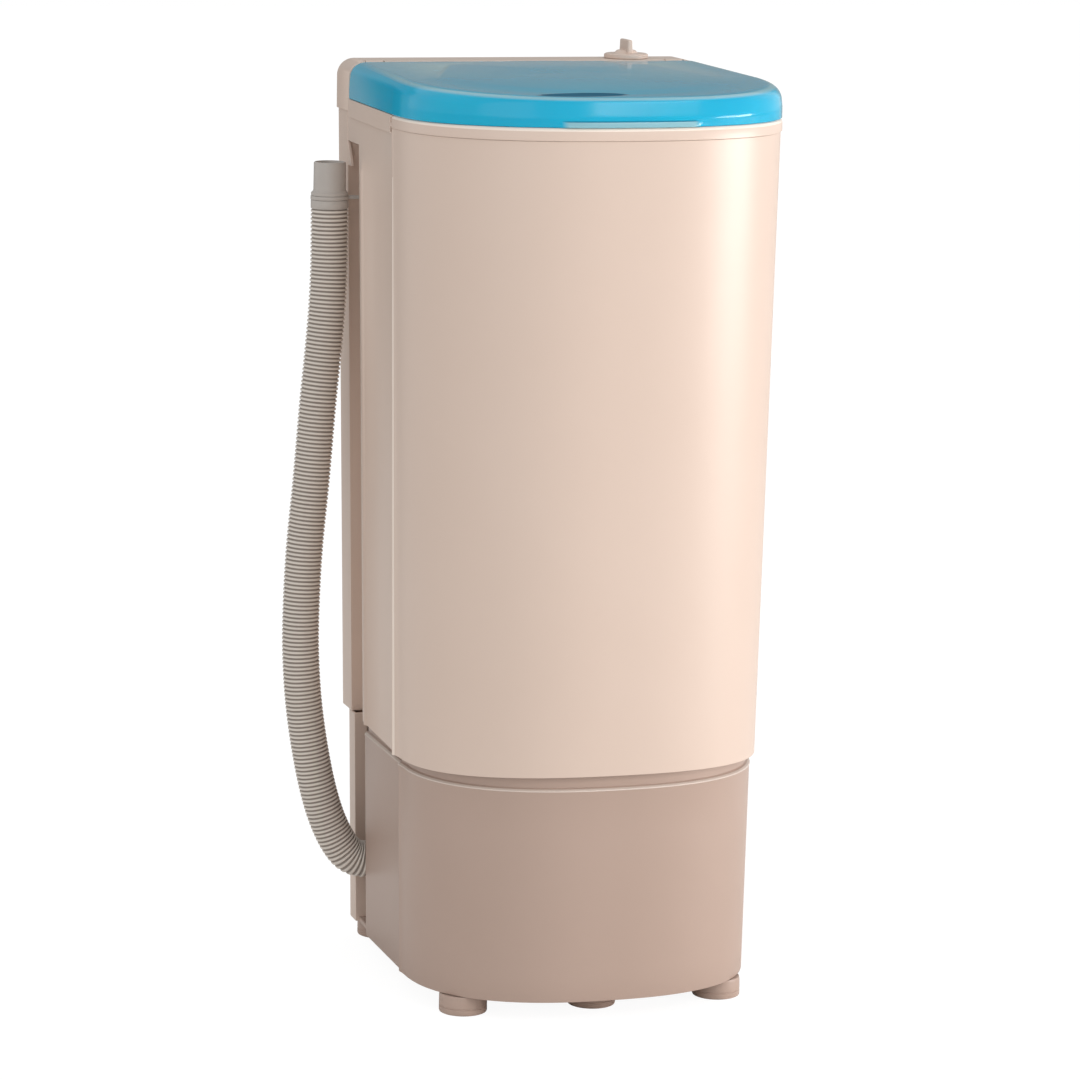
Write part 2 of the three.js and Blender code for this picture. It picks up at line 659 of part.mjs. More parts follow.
const timerTop = stripTop - 3 - fit;
const timerHalf = timerSize.map((v) => v / 2);
let timerBody = toSolid(box(
  [knobX - timerHalf[0], knobY - timerHalf[1], timerTop - timerSize[2]],
  [knobX + timerHalf[0], knobY + timerHalf[1], timerTop],
));
timerBody = timerBody.subtract(toSolid(rod('z', timerShaftRadius + fit, timerTop - 12, timerTop + 5, [knobX, knobY], 12)));
addMesh('timer_body', toGeometry(timerBody), '#dcdcd6', 0.5);
const shaftEnd = stripTop + 6;
addMesh('timer_shaft', rod('z', timerShaftRadius, timerTop - 10, shaftEnd, [knobX, knobY], 12), steel, 0.35, 1);
const knobBottom = stripTop + fit;
const knobProfile = [
  [0, knobBottom], [knobRadius, knobBottom], [knobRadius, knobBottom + knobSkirt - 1.5],
  [knobRadius - 1.5, knobBottom + knobSkirt], [knobHub[0], knobBottom + knobSkirt],
  [knobHub[0] - 1.5, knobBottom + knobHub[1]], [0, knobBottom + knobHub[1]],
];
let knob = toSolid(turned(knobProfile, 24).translate(knobX, knobY, 0));
knob = knob.add(toSolid(box(
  [knobX - knobFin[0] / 2, knobY - knobFin[1] / 2, knobBottom + 1],
  [knobX + knobFin[0] / 2, knobY + knobFin[1] / 2, knobTop],
)));
const knobBore = rod('z', timerShaftRadius + 0.2, knobBottom - 1, shaftEnd + fit, [knobX, knobY], 12);
addMesh('timer_knob', toGeometry(knob.subtract(toSolid(knobBore))), cream, 0.4);

// ---- Outer tub with its drain outlet ----

const tubTop = deckUnder - fit;
let tub = toSolid(turned([
  [sealHole, tubBottom], [tubRadius - 12, tubBottom], [tubRadius, tubBottom + 12],
  [tubRadius, tubTop - 3], [tubRadius + tubFlange, tubTop - 3], [tubRadius + tubFlange, tubTop],
  [tubRadius - tubWall, tubTop], [tubRadius - tubWall, tubBottom + 13], [tubRadius - 13, tubBottom + tubWall],
  [sealHole, tubBottom + tubWall],
], 28, true).translate(0, drumY, 0));
const spigotBottom = tubBottom - 12;
tub = tub.add(toSolid(rod('z', pipeRadius, spigotBottom, tubBottom + 1, outlet, 12)));
tub = tub.subtract(toSolid(rod('z', pipeBore, spigotBottom - 2, tubBottom + 10, outlet, 12)));
addMesh('outer_tub', toGeometry(tub), tubGrey, 0.5);

const sealProfile = [
  [sealHole - fit, tubBottom - 18], [sealHole - fit, tubBottom + tubWall + fit], [sealHole + 5, tubBottom + tubWall + fit],
  [sealHole + 5, tubBottom + 6], [sealHole - 4, tubBottom + 6], [sealHole - 4, tubBottom - 12],
  [12, tubBottom - 2], [9, tubBottom - 2], [9, tubBottom + 10],
  [shaftRadius + shaftGap, tubBottom + 10], [shaftRadius + shaftGap, tubBottom - 8], [11, tubBottom - 8], [16, tubBottom - 18],
];
addMesh('shaft_seal', turned(sealProfile, 16, true), rubber, 0.8).position.set(0, drumY, 0);

// ---- Basket ----

const basketInner = basketRadius - basketWall;
let basket = toSolid(turned([
  [shaftRadius + 3, basketBottom], [basketRadius - 8, basketBottom], [basketRadius, basketBottom + 8],
  [basketRadius, basketTop], [basketRadius - basketLip, basketTop], [basketRadius - basketLip, basketTop - 1.5],
  [basketInner, basketTop - 1.5], [basketInner, basketBottom + 9], [basketInner - 7, basketBottom + basketFloor],
  [shaftRadius + 3, basketBottom + basketFloor],
], 32, true));
for (let row = 0; row < holeRows; row += 1) {
  const z = basketBottom + ((row + 0.7) * (basketTop - basketBottom)) / holeRows;
  for (let column = 0; column < holeColumns / 2; column += 1) {
    const drill = rod('x', holeRadius, -basketRadius - 5, basketRadius + 5, [0, 0], 6);
    drill.rotateZ((Math.PI * 2 * (column + 0.25)) / holeColumns).translate(0, 0, z);
    basket = basket.subtract(toSolid(drill));
  }
}
addMesh('spin_basket', toGeometry(basket), steel, 0.3, 0.9).position.set(0, drumY, 0);
const hubBore = shaftRadius + shaftGap;
addMesh('basket_hub', turned([
  [hubBore, basketBottom - 7], [hubRadius, basketBottom - 7], [hubRadius, basketBottom - fit],
  [shaftRadius + 3 - fit, basketBottom - fit], [shaftRadius + 3 - fit, basketBottom + basketFloor + fit],
  [24, basketBottom + basketFloor + fit], [12, shaftTop + 4], [hubBore, shaftTop + 4],
], 20, true), '#d5d5d2', 0.45).position.set(0, drumY, 0);
addMesh('drive_shaft', turned([[0, shaftBottom], [shaftRadius, shaftBottom], [shaftRadius, shaftTop], [0, shaftTop]], 16), steel, 0.25, 1)
  .position.set(0, drumY, 0);

// ---- Motor on its sprung plate ----

const plateTop = plateBottom + plateThickness;
addMesh('motor_plate', turned([
  [bearingRadius + 3, plateBottom], [plateRadius, plateBottom], [plateRadius, plateTop], [bearingRadius + 3, plateTop],
], 24, true), darkSteel, 0.5, 0.8).position.set(0, drumY, 0);

const motorBottom = plateTop + fit;
const motorTop = motorBottom + motorHeight;
addMesh('motor_housing', turned([
  [bearingRadius, motorBottom], [motorRadius, motorBottom], [motorRadius, motorTop], [bearingRadius, motorTop],
  [bearingRadius, motorTop - motorWall], [motorRadius - motorWall, motorTop - motorWall],
  [motorRadius - motorWall, motorBottom + motorWall], [bearingRadius, motorBottom + motorWall],
], 20, true), '#8e9194', 0.5, 0.7).position.set(0, drumY, 0);
const statorBottom = motorBottom + 20;
addMesh('motor_stator', turned([
  [statorRadius, statorBottom], [motorRadius - motorWall - fit, statorBottom],
  [motorRadius - motorWall - fit, statorBottom + rotorHeight + 4], [statorRadius, statorBottom + rotorHeight + 4],
], 20, true), '#7c5a3c', 0.5, 0.5).position.set(0, drumY, 0);
addMesh('motor_rotor', turned([
  [hubBore, statorBottom + 2], [rotorRadius, statorBottom + 2],
  [rotorRadius, statorBottom + 2 + rotorHeight], [hubBore, statorBottom + 2 + rotorHeight],
], 16, true), darkSteel, 0.4, 0.8).position.set(0, drumY, 0);
[['lower', motorBottom + fit], ['upper', motorTop - bearingHeight]].forEach(([name, z]) => {
  addMesh(`bearing_${name}`, turned([
    [hubBore, z], [bearingRadius - fit, z], [bearingRadius - fit, z + bearingHeight], [hubBore, z + bearingHeight],
  ], 16, true), steel, 0.3, 1).position.set(0, drumY, 0);
});

const springBottom = footHeight + baseFloor + fit;
const springTop = plateBottom - fit;
class Helix extends THREE.Curve {
  getPoint(t, target = new THREE.Vector3()) {
    const angle = 2 * Math.PI * springTurns * t;
    const rise = springTop - springBottom - 2 * springWire;
    const z = springBottom + springWire + rise * t;
    return target.set(springRadius * Math.cos(angle), springRadius * Math.sin(angle), z);
  }
}
const helix = new Helix();
const helixLength = helix.getLength();
for (let i = 0; i < 3; i += 1) {
  const angle = Math.PI / 2 + (i * 2 * Math.PI) / 3;
  const spring = addMesh(`motor_spring_${i + 1}`, tube(helix, 5, evenRings(helixLength, springTurns * 8, springWire)), darkSteel, 0.4, 0.9);
  spring.position.set(springCircle * Math.cos(angle), drumY + springCircle * Math.sin(angle), 0);
}

// ---- Brake: drum on the shaft, lever with its shoe, pivot post and cable ----

const brakeTop = brakeBottom + brakeHeight;
addMesh('brake_drum', turned([
  [hubBore, brakeBottom], [14, brakeBottom], [14, brakeBottom + 6], [brakeRadius - 3, brakeBottom + 6],
  [brakeRadius - 3, brakeBottom], [brakeRadius, brakeBottom], [brakeRadius, brakeTop], [brakeRadius - 3, brakeTop],
  [brakeRadius - 3, brakeBottom + 9], [14, brakeBottom + 9], [14, brakeTop], [hubBore, brakeTop],
], 18, true), darkSteel, 0.5, 0.8).position.set(0, drumY, 0);

const leverBottom = brakeBottom + 6;
const leverTop = leverBottom + 8;
const postRadius = 3;
const tailReach = brakePivot + 26;
const shoeInner = brakeRadius + shoeGap;
const leverShape = [
  ...arc(0, 0, brakePivot - 3, 8, 35, 4),
  ...arc(0, 0, shoeInner, 35, leverSweep, 5),
  ...arc(0, 0, brakePivot + 4, leverSweep, 6, 8),
  [tailReach, 4], [tailReach, -4], [brakePivot, -6], [brakePivot - 4.5, -2],
];
let lever = toSolid(prism(leverShape.reverse(), leverBottom, leverTop));
const postHole = rod('z', holeRadiusFor(postRadius + pinClearance), leverBottom - 1, leverTop + 1, [brakePivot, 0]);
lever = lever.subtract(toSolid(postHole));
addMesh('brake_lever', toGeometry(lever), darkSteel, 0.5, 0.7).position.set(0, drumY, 0);
addMesh('brake_post', turned([
  [0, motorTop + fit], [postRadius + 2, motorTop + fit], [postRadius + 2, leverBottom - fit], [postRadius, leverBottom - fit],
  [postRadius, leverTop + 3], [0, leverTop + 3],
], 16), steel, 0.4, 1).position.set(brakePivot, drumY, 0);

const cableRadius = 2.2;
const cableZ = leverBottom + 4;
const cableTop = deckUnder - fit - cableRadius;
const cableX = sideX(shellRear) - seamInset - channelDepth;
const cableCurve = smoothCurve([
  [cableX - 40, flangeFront + 3, cableTop], [cableX - 18, flangeFront + 3, cableTop], [cableX - 5, flangeFront - 2, cableTop - 16],
  [cableX + 0.6, shellRear + 21, rimTop - 73], [cableX, shellRear + 13, rimTop - 173],
  [cableX - 2, shellRear + 9, tubBottom + 142], [cableX - 4, shellRear + 5, tubBottom + 22],
  [cableX - 8, shellRear - 21, tubBottom - 46], [cableX - 13, shellRear - 71, collarTop], [cableX - 19, drumY + 2, collarBottom - 3],
  [cableX - 30, drumY - 36, cableZ], [(cableX + tailReach) / 2 - 17, drumY - 48, cableZ], [tailReach - 4, drumY - 36, cableZ],
  [tailReach - 4, drumY - 22, cableZ], [tailReach - 4, drumY - 5, cableZ],
]);
addMesh('brake_cable', tube(cableCurve, 6, evenRings(cableCurve.getLength(), 44, cableRadius)), rubber, 0.7);

const capacitorPlace = [bodyHalfWidth - 72, drumY + 84];
addMesh('motor_capacitor', rod('z', 18, springBottom, springBottom + 62, capacitorPlace, 20), '#e4e2dc', 0.4);

// ---- Drain pipe inside, hose gland, ribbed hose, cuff and hook outside ----

const glandInner = -baseChannelX + wall + 0.5 + fit;
const pipeCurve = smoothCurve([
  [...outlet, spigotBottom - fit], [outlet[0], outlet[1], spigotBottom - 30], [outlet[0] + 1, outlet[1] + 20, hoseZ + 136.5],
  [outlet[0] + 1, hoseY - 15, hoseZ + 81.5], [outlet[0] + 1, hoseY - 3, hoseZ + 41.5], [outlet[0] - 4, hoseY, hoseZ + 12.5],
  [outlet[0] - 16, hoseY, hoseZ],
  [glandInner + fit, hoseY, hoseZ],
]);
const pipeLength = pipeCurve.getLength();
addMesh('drain_pipe', tube(
  pipeCurve, 8, evenRings(pipeLength, 16, pipeRadius), evenRings(pipeLength, 16, pipeBore),
), '#55585c', 0.6);

const gland = turned([
  [pipeBore, 0], [pipeRadius + 0.2, 0], [pipeRadius + 0.2, wall + 0.5 + 2 * fit], [hoseRadius + 1, wall + 0.5 + 2 * fit],
  [hoseRadius + 1, wall + 0.5 + 2 * fit + glandFlange], [pipeBore, wall + 0.5 + 2 * fit + glandFlange],
], 12, true);
gland.rotateY(-Math.PI / 2).translate(glandInner, hoseY, hoseZ);
addMesh('hose_gland', gland, '#8d8178', 0.6);

const hoseEnd = glandInner - (wall + 0.5 + 2 * fit + glandFlange) - fit;
const straight = 2 * hoseRadius;
// The hose stands in its photographed bow, from its cuff down and round into the base.
const hoseBow = [
  [-0.4, 12, 536.5], [-2.4, 10.6, 501.5], [-6, 9.6, 461.5], [-10.1, 8.6, 421.5], [-16.3, 7.1, 349.5],
  [-22.4, 5.9, 286.5], [-25.2, 4.6, 234.5], [-25.6, 3.8, 195.5], [-22.9, 2.9, 149.5], [-16.6, 2, 103.5],
  [-8.5, 1.2, 64.5], [0, 0.6, 37.5], [10.5, 0.1, 16], [20, 0, 4.7],
];
const hoseStretch = (cuffBottom - fit - hoseZ) / 592.7;
const hosePoints = [
  [cuffX, cuffY, cuffBottom - fit], [cuffX, cuffY, cuffBottom - fit - 17], [cuffX, cuffY, cuffBottom - fit - straight],
  ...hoseBow.map(([x, y, z]) => [cuffX + x, hoseY + y, hoseZ + z * hoseStretch]),
  [hoseEnd - straight, hoseY, hoseZ], [hoseEnd - straight / 2, hoseY, hoseZ], [hoseEnd, hoseY, hoseZ],
];
const hoseCurve = smoothCurve(hosePoints);
hoseCurve.arcLengthDivisions = 800;
const hoseLength = hoseCurve.getLength();
const ribCount = Math.round(hoseLength / hosePitch);
const ribPitch = hoseLength / ribCount;
const hoseRings = [];
const boreRings = [];
for (let i = 0; i < ribCount; i += 1) {
  hoseRings.push([i * ribPitch + (i === 0 ? 0 : ribPitch * 0.1), hoseRadius - hoseRibDepth]);
  hoseRings.push([(i + 0.55) * ribPitch, hoseRadius]);
  if (i % 5 === 0) boreRings.push([i * ribPitch, hoseRadius - hoseRibDepth - hoseWall]);
}
hoseRings.push([hoseLength, hoseRadius - hoseRibDepth]);
boreRings.push([hoseLength, hoseRadius - hoseRibDepth - hoseWall]);
addMesh('drain_hose', tube(hoseCurve, hoseSides, hoseRings, boreRings), hoseGrey, 0.6);

addMesh('hose_cuff', turned([
  [cuffBore, cuffBottom], [hoseRadius, cuffBottom], [hoseRadius, cuffCollar - 1.5], [hoseRadius - 1.5, cuffCollar],
  [cuffRadius, cuffCollar], [cuffRadius, cuffTop], [cuffBore, cuffTop],
], 20, true), hoseGrey, 0.5).position.set(cuffX, cuffY, 0);

const hookBottom = cuffBottom + 5;
const hookHeight = 3.6;
const hookInner = hoseRadius + fit;
const hookWall = 1.6;
let hook = toSolid(turned([
  [0, hookBottom], [hookInner + hookWall, hookBottom], [hookInner + hookWall, hookBottom + hookHeight], [0, hookBottom + hookHeight],
], 20).translate(cuffX, cuffY, 0));
const channelFloor = -(sideX(shellRear) - bodyInset(hookBottom) - channelDepth);
hook = hook.add(toSolid(box(
  [cuffX + hoseRadius, cuffY - 2.5, hookBottom], [channelFloor - fit, cuffY + 2.5, hookBottom + hookHeight],
)));
hook = hook.add(toSolid(box(
  [channelFloor - fit - 2, cuffY - 7, hookBottom - 3], [channelFloor - fit, cuffY + 7, hookBottom + hookHeight + 3],
)));
const hookHole = rod('z', holeRadiusFor(hookInner, 20), hookBottom - 2, hookBottom + hookHeight + 2, [cuffX, cuffY], 20);
addMesh('hose_hook', toGeometry(hook.subtract(toSolid(hookHole))), hoseGrey, 0.5);

// ---- Fasteners and the cord's inlet at the rear ----

const headReach = lipReach;
const screwProfile = [
  [0, 0], [screwRadius, 0], [screwRadius, 10], [screwHead, 10], [screwHead, 10 + headReach - fit], [0, 10 + headReach - fit],
];
const screwAt = (name, x, z) => {
  const screw = addMesh(name, turned(screwProfile, 8), steel, 0.35, 1);
  screw.rotation.x = -Math.PI / 2;
  screw.position.set(x, rearReach + fit - 10, z);
};
screwPlaces.forEach(([side, x, z], i) => screwAt(`panel_screw_${side}_${i < 2 ? 'upper' : 'lower'}`, x, z));
coverScrewPlaces.forEach(([x, z]) => screwAt(`cover_screw_${x < 0 ? 'left' : 'right'}`, x, z));

const inlet = addMesh('cord_inlet', turned([
  [4, 0], [glandNeck, 0], [glandNeck, 9], [glandNeck + 4, 9], [glandNeck + 4, 9 + headReach - fit], [4, 9 + headReach - fit],
], 14, true), rubber, 0.7);
inlet.rotation.x = -Math.PI / 2;
inlet.position.set(glandPlace[0], rearReach + fit - 9, glandPlace[1]);

export default group;
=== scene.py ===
import bpy
import bmesh
import math
from mathutils import Matrix, Vector


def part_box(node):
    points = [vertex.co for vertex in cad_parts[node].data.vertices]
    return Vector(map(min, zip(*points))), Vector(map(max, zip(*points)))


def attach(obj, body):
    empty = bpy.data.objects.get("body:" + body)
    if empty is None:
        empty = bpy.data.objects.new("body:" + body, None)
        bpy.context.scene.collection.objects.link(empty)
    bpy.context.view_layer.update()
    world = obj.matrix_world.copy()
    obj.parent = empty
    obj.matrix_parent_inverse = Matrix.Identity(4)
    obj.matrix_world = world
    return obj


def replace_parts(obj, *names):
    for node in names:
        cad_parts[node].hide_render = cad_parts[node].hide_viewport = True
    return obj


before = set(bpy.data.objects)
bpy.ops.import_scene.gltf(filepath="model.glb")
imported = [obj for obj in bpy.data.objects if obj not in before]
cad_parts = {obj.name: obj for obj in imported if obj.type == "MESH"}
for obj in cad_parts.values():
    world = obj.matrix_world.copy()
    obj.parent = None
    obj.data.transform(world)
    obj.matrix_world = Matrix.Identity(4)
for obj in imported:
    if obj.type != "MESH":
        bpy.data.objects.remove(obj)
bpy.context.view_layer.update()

mm = 0.001  # the pieces are modelled in millimetres and brought to metres when they are finished
scene = bpy.context.scene

# Camera, where the photograph was taken from
camera = {"place": (-1.1536, -3.7769, 1.0956), "azimuth": -16.61, "elevation": 10.132, "roll": 0.94,
          "lens": 151.14, "shiftX": 0.0062, "shiftY": 0.0027, "clipEnd": 50}


def addCamera():
    data = bpy.data.cameras.new("camera")
    data.lens = camera["lens"]
    data.shift_x = camera["shiftX"]
    data.shift_y = camera["shiftY"]
    data.clip_end = camera["clipEnd"]
    view = bpy.data.objects.new("camera", data)
    turn = Matrix.Rotation(math.radians(camera["azimuth"]), 4, "Z")
    tilt = Matrix.Rotation(math.radians(90 - camera["elevation"]), 4, "X")
    roll = Matrix.Rotation(math.radians(camera["roll"]), 4, "Z")
    view.matrix_world = Matrix.Translation(camera["place"]) @ turn @ tilt @ roll
    scene.collection.objects.link(view)
    scene.camera = view


addCamera()
print("camera placed")

# Small helpers for meshes
mergeDistance = 0.002
edgeSteps = 2


def addObject(name, bm):
    # a mesh made into an object of the scene
    mesh = bpy.data.meshes.new(name)
    bm.to_mesh(mesh)
    bm.free()
    made = bpy.data.objects.new(name, mesh)
    scene.collection.objects.link(made)
    return made


def roundEdges(piece, width, angle=35):
    # a small rounded edge, as a mould leaves it
    edge = piece.modifiers.new("edge", "BEVEL")
    edge.width = width * mm
    edge.segments = edgeSteps
    edge.limit_method = "ANGLE"
    edge.angle_limit = math.radians(angle)
    edge.harden_normals = True


def finish(bm, name, body, material, bevel=0.0, angle=35, wall=0.0, recalc=True):
    # cleans a millimetre mesh, brings it to metres, coats it and makes it ride on its body
    bmesh.ops.remove_doubles(bm, verts=bm.verts, dist=mergeDistance)
    if recalc:
        bmesh.ops.recalc_face_normals(bm, faces=bm.faces)
    bmesh.ops.scale(bm, vec=(mm, mm, mm), verts=bm.verts)
    piece = addObject(name, bm)
    piece.data.shade_smooth()
    piece.data.set_sharp_from_angle(angle=math.radians(angle))
    piece.data.materials.append(material)
    if wall:
        thick = piece.modifiers.new("wall", "SOLIDIFY")
        thick.thickness = wall * mm
        thick.offset = -1
    if bevel:
        roundEdges(piece, bevel, angle)
    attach(piece, body)
    return piece


def faceOut(bm, sample, outward):
    # turns an open skin so that the face nearest to a sample point looks outward
    bmesh.ops.recalc_face_normals(bm, faces=bm.faces)
    bm.faces.ensure_lookup_table()
    nearest = min(bm.faces, key=lambda f: (f.calc_center_median() - Vector(sample)).length)
    if nearest.normal.dot(Vector(outward)) < 0:
        bmesh.ops.reverse_faces(bm, faces=bm.faces)


def addChain(bm, points, closed=True):
    # an edge loop, or an open chain, through the points
    verts = [bm.verts.new(p) for p in points]
    pairs = list(zip(verts, verts[1:]))
    if closed:
        pairs.append((verts[-1], verts[0]))
    return verts, [bm.edges.new(pair) for pair in pairs], closed


def liftChain(bm, chain, points):
    # extrudes a chain and moves the new one onto its points
    verts, edges, closed = chain
    made = bmesh.ops.extrude_edge_only(bm, edges=edges)["geom"]
    byPlace = {tuple(v.co): v for v in made if isinstance(v, bmesh.types.BMVert)}
    ordered = [byPlace[tuple(v.co)] for v in verts]
    for v, p in zip(ordered, points):
        v.co = p
    follow = {frozenset(e.verts): e for e in made if isinstance(e, bmesh.types.BMEdge)}
    pairs = list(zip(ordered, ordered[1:]))
    if closed:
        pairs.append((ordered[-1], ordered[0]))
    return ordered, [follow[frozenset(pair)] for pair in pairs], closed


def loft(bm, rings, closed=True, capFirst=False, capLast=False):
    # a skin through rings of points, with flat ends where they are wanted
    first = chain = addChain(bm, rings[0], closed)
    for ring in rings[1:]:
        chain = liftChain(bm, chain, ring)
    if capFirst:
        bmesh.ops.contextual_create(bm, geom=first[1])
    if capLast:
        bmesh.ops.contextual_create(bm, geom=chain[1])
    return first, chain


def spinProfile(bm, profile, centre=(0, 0), steps=64):
    # turns a profile of (radius, height) about an upright axis
    verts = [bm.verts.new((centre[0] + r, centre[1], z)) for r, z in profile]
    edges = [bm.edges.new(pair) for pair in zip(verts, verts[1:])]
    bmesh.ops.spin(bm, geom=verts + edges, cent=(centre[0], centre[1], 0), axis=(0, 0, 1), angle=2 * math.pi,
                   steps=steps, use_merge=True)


def addBlock(bm, low, high):
    # a box between two corners, as one more island of the mesh
    made = bmesh.ops.create_cube(bm, size=1)["verts"]
    size = [h - l for l, h in zip(low, high)]
    bmesh.ops.scale(bm, vec=size, verts=made)
    bmesh.ops.translate(bm, vec=[(l + h) / 2 for l, h in zip(low, high)], verts=made)
    return made


def blockShape(low, high):
    bm = bmesh.new()
    addBlock(bm, low, high)
    return bm


def roundShape(radius, depth, matrix, sides=32):
    bm = bmesh.new()
    bmesh.ops.create_cone(bm, cap_ends=True, segments=sides, radius1=radius, radius2=radius, depth=depth,
                          matrix=matrix)
    return bm


def cutFrom(piece, shapes):
    # takes closed millimetre shapes out of a piece with its walls made, then drops them
    material = piece.data.materials[0]
    cutters = []
    for bm in shapes:
        bmesh.ops.recalc_face_normals(bm, faces=bm.faces)
        bmesh.ops.scale(bm, vec=(mm, mm, mm), verts=bm.verts)
        cutters.append(addObject("cutter", bm))
        cut = piece.modifiers.new("cut", "BOOLEAN")
        cut.operation = "DIFFERENCE"
        cut.solver = "EXACT"
        cut.object = cutters[-1]
    bpy.context.view_layer.update()
    shaped = bpy.data.meshes.new_from_object(piece.evaluated_get(bpy.context.evaluated_depsgraph_get()))
    piece.modifiers.clear()
    piece.data = shaped
    piece.data.materials.clear()
    piece.data.materials.append(material)
    for cutter in cutters:
        bpy.data.objects.remove(cutter)


def arcPoints(cx, cy, radius, start, end, steps):
    angles = [math.radians(start + (end - start) * i / steps) for i in range(steps + 1)]
    return [(cx + radius * math.cos(a), cy + radius * math.sin(a)) for a in angles]


def atHeight(points, z):
    return [(x, y, z) for x, y in points]


def mirrored(points):
    return [(-x, y) for x, y in reversed(points)]


def smooth(value, low, high):
    share = min(max((value - low) / (high - low), 0), 1)
    return share * share * (3 - 2 * share)


# The casing's outline in plan, as the solids have it
casing = {"halfWidth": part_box("top_frame")[1].x / mm, "rearHalfWidth": 163.5,
          "frontReach": -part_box("top_frame")[0].y / mm, "rearReach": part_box("rear_panel")[1].y / mm,
          "cornerY": -36.6, "frontPower": 2.42, "steps": 96, "rimInset": 1.2, "seamInset": 10.2,
          "rimBottom": 762, "rimTop": 773, "seam": 214, "seamArch": 5, "panelStep": 1.2, "stepRun": 1.5,
          "wall": 2.5, "drumY": -22}


def sideX(y):
    share = (y - casing["cornerY"]) / (casing["rearReach"] - casing["cornerY"])
    return casing["halfWidth"] + (casing["rearHalfWidth"] - casing["halfWidth"]) * share


def frontCurve(inset):
    # the rounded front, from its left corner to its right one
    points = []
    for i in range(casing["steps"] + 1):
        angle = math.pi * (1 - i / casing["steps"])
        along = math.copysign(abs(math.cos(angle)) ** (2 / casing["frontPower"]), math.cos(angle))
        out = abs(math.sin(angle)) ** (2 / casing["frontPower"])
        depth = casing["frontReach"] + casing["cornerY"] - inset
        points.append(((casing["halfWidth"] - inset) * along, casing["cornerY"] - depth * out))
    return points


def bodyInset(z):
    run = casing["rimBottom"] - casing["seam"]
    return casing["rimInset"] + (casing["rimBottom"] - z) * (casing["seamInset"] - casing["rimInset"]) / run


# Materials: each one starts from the real stuff and how its surface was made


def linear(hexColour):
    parts = [int(hexColour[i:i + 2], 16) / 255 for i in (0, 2, 4)]
    return tuple(c / 12.92 if c <= 0.04045 else ((c + 0.055) / 1.055) ** 2.4 for c in parts) + (1.0,)


def feed(tree, node, inputs):
    # the values or sockets that go into a node
    for key, value in inputs.items():
        if isinstance(value, bpy.types.NodeSocket):
            tree.links.new(value, node.inputs[key])
        else:
            node.inputs[key].default_value = value


def addNode(tree, kind, inputs=None, **settings):
    node = tree.nodes.new(kind)
    for name, value in settings.items():
        setattr(node, name, value)
    feed(tree, node, inputs or {})
    return node


def noise(tree, place, size, detail):
    # soft clouds about so many millimetres wide
    inputs = {"Vector": place, "Scale": 1 / (size * mm), "Detail": detail}
    return addNode(tree, "ShaderNodeTexNoise", inputs).outputs[0]


def blend(tree, share, first, second):
    return addNode(tree, "ShaderNodeMix", {0: share, 6: first, 7: second}, data_type="RGBA").outputs[2]


def spread(tree, value, low, high, start=0.0, end=1.0):
    # a value's range from start to end stretched from low to high
    return addNode(tree, "ShaderNodeMapRange", {0: value, 1: start, 2: end, 3: low, 4: high}).outputs[0]


def bumpFrom(tree, height, strength, depth=0.2):
    inputs = {"Strength": strength, "Distance": depth * mm, "Height": height}
    return addNode(tree, "ShaderNodeBump", inputs).outputs[0]


def marked(tree, name):
    return addNode(tree, "ShaderNodeAttribute", attribute_name=name).outputs["Fac"]


def startMaterial(name):
    material = bpy.data.materials.new(name)
    material.use_nodes = True
    tree = material.node_tree
    place = addNode(tree, "ShaderNodeTexCoord").outputs["Object"]
    return material, tree, tree.nodes["Principled BSDF"], place


def mouldedPlastic(name, colour, shade, drift, gloss, grain, bump, ior=1.52):
    # slow colour drift from the melt, a little uneven gloss, and the fine spark-eroded grain of the mould
    material, tree, surface, place = startMaterial(name)
    cloud = noise(tree, place, drift, 3.0)
    feed(tree, surface, {"Base Color": blend(tree, cloud, linear(colour), linear(shade)),
                         "Roughness": spread(tree, cloud, gloss - 0.05, gloss + 0.05),
                         "Normal": bumpFrom(tree, noise(tree, place, grain, 2.0), bump), "IOR": ior})
    return material


# ABS, injection moulded in a satin tool: warm cream with a soft broad sheen
mouldedCream = mouldedPlastic("mouldedCream", "D9C5B8", "D4BFB1", drift=160, gloss=0.36, grain=1.6, bump=0.10)
# the same ABS painted lighter: a painted highlight, a thin lighter line along edges that catch the light
highlightCream = mouldedPlastic("highlightCream", "F3E6DB", "EEDFD2", drift=160, gloss=0.3, grain=1.6, bump=0.04)
# the taupe ABS painted lighter in the same way: a painted highlight along the base's ledge
highlightTaupe = mouldedPlastic("highlightTaupe", "D6C8BE", "CEBFB4", drift=140, gloss=0.32, grain=1.6, bump=0.04)
# the same ABS in taupe for the base, a touch rougher
mouldedTaupe = mouldedPlastic("mouldedTaupe", "B69F93", "AF988B", drift=140, gloss=0.38, grain=1.6, bump=0.12)
# polypropylene, moulded: waxy pale grey with a dull gloss
mouldedGrey = mouldedPlastic("mouldedGrey", "C2C4C3", "B6B8B8", 90, gloss=0.45, grain=1.2, bump=0.10, ior=1.49)
# PBT of the switch and timer bodies: ivory and matt
mouldedIvory = mouldedPlastic("mouldedIvory", "DEDCD3", "D3D0C6", 30, gloss=0.5, grain=0.8, bump=0.15, ior=1.55)
# EPDM rubber of seals, sleeves and cable sheath: near black, dull, with a dusty bloom
mouldedRubber = mouldedPlastic("mouldedRubber", "2B2B2D", "39383A", drift=18, gloss=0.72, grain=0.9, bump=0.3)
# polythene of the hose's cuff and clip: moulded smooth, grey with a soft sheen
mouldedPolythene = mouldedPlastic("mouldedPolythene", "BDB7B1", "B3ACA6", drift=40, gloss=0.42, grain=1.0,
                                  bump=0.10, ior=1.5)
